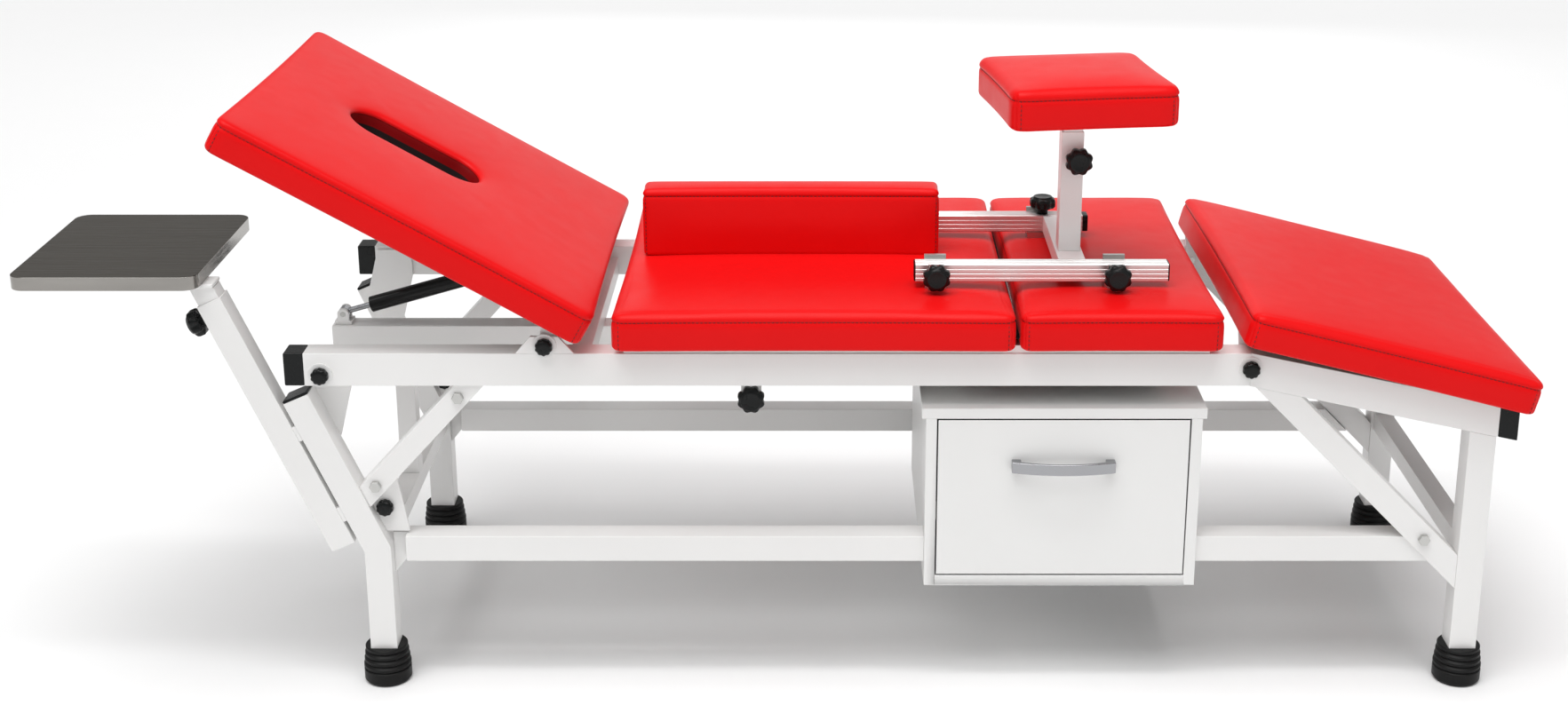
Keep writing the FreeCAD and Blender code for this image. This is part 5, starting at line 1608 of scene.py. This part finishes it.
@dataclass
class LegStool:
    """Slide bars, cross bar, sleeve, post and clamps of the leg stool.

    Attributes:
        length: Length of a bar with its plugs.
        size: Side of a bar.
        flange: Length of a plug that only closes a bar.
        long_plug: Length of the plug that stands out at the far bar's foot end.
        plain: Pieces that only get rounded edges.
    """

    length: float = 0.375
    size: float = 0.027
    flange: float = 0.0022
    long_plug: float = 0.0085
    plain: tuple[Rounding, ...] = (
        Rounding("stool_frame", WHITE_PAINT, 0.0016, ("stool_cross_bar",)),
        Rounding("stool_frame", WHITE_PAINT, 0.002, ("stool_sleeve",)),
        Rounding("stool_post", WHITE_PAINT, 0.0016, ("stool_post",)),
        Rounding("stool_seat", WHITE_PAINT, 0.001, ("stool_plate",)),
        Rounding("carriage", ZINC, 0.001, ("stool_clamps",)))

    def build(self) -> None:
        """Make the ribbed bars with their plugs and dress the other pieces."""
        bar, plug = SlideBar(self.size), BarPlug()
        bars, plugs = Shells(), Shells()
        low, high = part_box("stool_bars")
        for x, y, last in ((high.x - self.length, low.y, self.flange),
                           (low.x, high.y - self.size, self.long_plug)):
            head, foot = x + self.flange, x + self.length - last
            axis = (y + self.size / 2, low.z + self.size / 2)
            bars.add(*bar.shell(head, foot, *axis))
            for inner, outer in ((head, x), (foot, x + self.length)):
                plugs.add(*plug.shell(inner, outer, *axis))
        dress(mesh_object("bar_plugs", plugs.verts, plugs.faces), BLACK_PLASTIC, "stool_frame")
        ribbed = mesh_object("slide_bars", bars.verts, bars.faces)
        ribbed.data.shade_flat()
        dress(ribbed, ALUMINIUM, "stool_frame", "stool_bars")
        for pieces in self.plain:
            pieces.build()


@dataclass
class Knobs:
    """All star knobs, read from the joints that turn them.

    Attributes:
        frame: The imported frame, with its joints and solids.
    """

    frame: dict

    def build(self) -> None:
        """Make every knob where its solid stands."""
        for joint in self.frame["joints"]:
            node = joint["child"]
            if not node.endswith("knob") and "clamp_knob" not in node:
                continue
            axis = Vector(joint["axis"]).normalized()
            points = [vert.co for vert in self.frame["nodes"][node].data.vertices]
            start = min(point.dot(axis) for point in points)
            seat = Vector(joint["pos_m"])
            seat += axis * (start - seat.dot(axis))
            StarKnob(node + "_lobed", node, node, seat, axis).build()


@dataclass
class PlainSolids:
    """Solids whose own shape is right and that only need a finish."""

    finishes: tuple[tuple[Finish, tuple[str, ...]], ...] = (
        (WHITE_PAINT, ("backrest_bars", "backrest_lugs", "seat_runners", "lock_bracket", "foot_hinge_lugs")),
        (WHITE_CAP, ("bolt_washers",)),
        (BLACK_RUBBER, ("rubber_feet",)),
        (ZINC, ("pivot_pins", "spring_low_pin", "spring_top_pin", "drawer_runners")),
        (CHROME, ("spring_rod",)),
        (BLACK_PAINT, ("spring_cylinder",)),
        (PLYWOOD_SHADED, ("backrest_board", "seat_boards", "foot_board")),
    )

    def build(self, nodes: dict[str, bpy.types.Object]) -> None:
        """Assign each solid its finish.

        Args:
            nodes: Solids by name.
        """
        for finish, names in self.finishes:
            for name in names:
                nodes[name].data.materials.clear()
                nodes[name].data.materials.append(finish.material())
                LOG.info("%s takes %s", name, finish.name)


@dataclass(frozen=True)
class Lamp:
    """A soft rectangular studio light that points at the bed.

    Attributes:
        name: Name of the light.
        place: Where it hangs.
        size: Its width and depth.
        power: Its power in watts.
    """

    name: str
    place: tuple[float, float, float]
    size: tuple[float, float]
    power: float

    TARGET = (0.0, 0.0, 0.4)

    def hang(self) -> None:
        """Put the light into the scene."""
        data = bpy.data.lights.new(self.name, "AREA")
        data.shape = "RECTANGLE"
        data.size, data.size_y = self.size
        data.energy = self.power
        lamp = link(bpy.data.objects.new(self.name, data))
        lamp.location = self.place
        lamp.visible_camera = False
        aim = Vector(self.TARGET) - Vector(self.place)
        lamp.rotation_euler = aim.to_track_quat("-Z", "Y").to_euler()


@dataclass
class Studio:
    """Floor, light and camera.

    Attributes:
        eye: Place of the camera.
        pitch: Degrees that it looks down.
        focal: Focal length in pixels of the photograph.
        frame: Pixels of the photograph.
        shift: Shift of the picture, as shares of its width.
        sensor: Width of the camera's sensor in millimetres.
        reach: Half of the floor's side.
        far: How far the camera sees.
        drop: How far the floor lies below the feet.
        lights: The studio lights.
        world: Strength of the light from all round.
        sky_power: Strength of the soft light from above.
        sky_spread: Width of that light in degrees.
        sky_way: Direction that it shines in.
    """

    eye: tuple[float, float, float] = (0.0547, -3.153, 1.5939)
    pitch: float = 16.97
    focal: float = 2382.4
    frame: tuple[int, int] = (1765, 803)
    shift: tuple[float, float] = (-0.0232, -0.08)
    sensor: float = 36.0
    reach: float = 30.0
    far: float = 100.0
    drop: float = 0.0005
    lights: tuple[Lamp, ...] = (
        Lamp("key", (-1.5, -2.6, 3.2), (2.4, 2.4), 8.0), Lamp("fill", (2.4, -2.2, 2.6), (2.2, 2.2), 6.0),
        Lamp("edge_strip", (0.0, -0.95, 3.4), (3.0, 0.3), 20.0),
        Lamp("back", (0.4, 4.2, 2.0), (3.4, 3.4), 17.0))
    world: float = 0.38
    sky_power: float = 2.08
    sky_spread: float = 50.0
    sky_way: tuple[float, float, float] = (0.14, 0.22, -1.0)

    def build(self) -> None:
        """Set the floor, lights, world and camera."""
        self.floor()
        for lamp in self.lights:
            lamp.hang()
        self.surround()
        self.camera()
        bpy.context.scene.view_settings.view_transform = "Standard"

    def floor(self) -> None:
        """Lay a plain pale floor."""
        corners = [(x * self.reach, y * self.reach, -self.drop)
                   for x, y in ((-1, -1), (1, -1), (1, 1), (-1, 1))]
        piece = mesh_object("floor", corners, [(0, 1, 2, 3)])
        piece.data.materials.append(PALE_FLOOR.material())

    def surround(self) -> None:
        """Set the world's even light and a soft light from above."""
        world = bpy.data.worlds.new("studio")
        world.use_nodes = True
        background = world.node_tree.nodes["Background"]
        background.inputs["Color"].default_value = (1, 1, 1, 1)
        background.inputs["Strength"].default_value = self.world
        bpy.context.scene.world = world
        sky = bpy.data.lights.new("skylight", "SUN")
        sky.energy = self.sky_power
        sky.angle = math.radians(self.sky_spread)
        dome = link(bpy.data.objects.new("skylight", sky))
        dome.rotation_euler = Vector(self.sky_way).to_track_quat("-Z", "Y").to_euler()

    def camera(self) -> None:
        """Stand the camera so that it frames the bed nearly as the photograph does."""
        data = bpy.data.cameras.new("photo_camera")
        data.sensor_fit = "HORIZONTAL"
        data.sensor_width = self.sensor
        data.lens = self.sensor * self.focal / self.frame[0]
        data.shift_x, data.shift_y = self.shift
        data.clip_end = self.far
        camera = link(bpy.data.objects.new("photo_camera", data))
        camera.location = self.eye
        camera.rotation_euler = (math.radians(90.0 - self.pitch), 0.0, 0.0)
        bpy.context.scene.camera = camera


def main() -> None:
    """Build the dressed bed in order."""
    logging.basicConfig(level=logging.INFO, format="%(message)s")
    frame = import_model()
    Studio().build()
    Upholstery({joint["name"]: joint for joint in frame["joints"]}).build()
    BedFrame().build()
    Cabinet().build()
    Tray().build()
    LegStool().build()
    Knobs(frame).build()
    BoltCaps().build()
    PlainSolids().build(frame["nodes"])


if __name__ == "__main__":
    main()
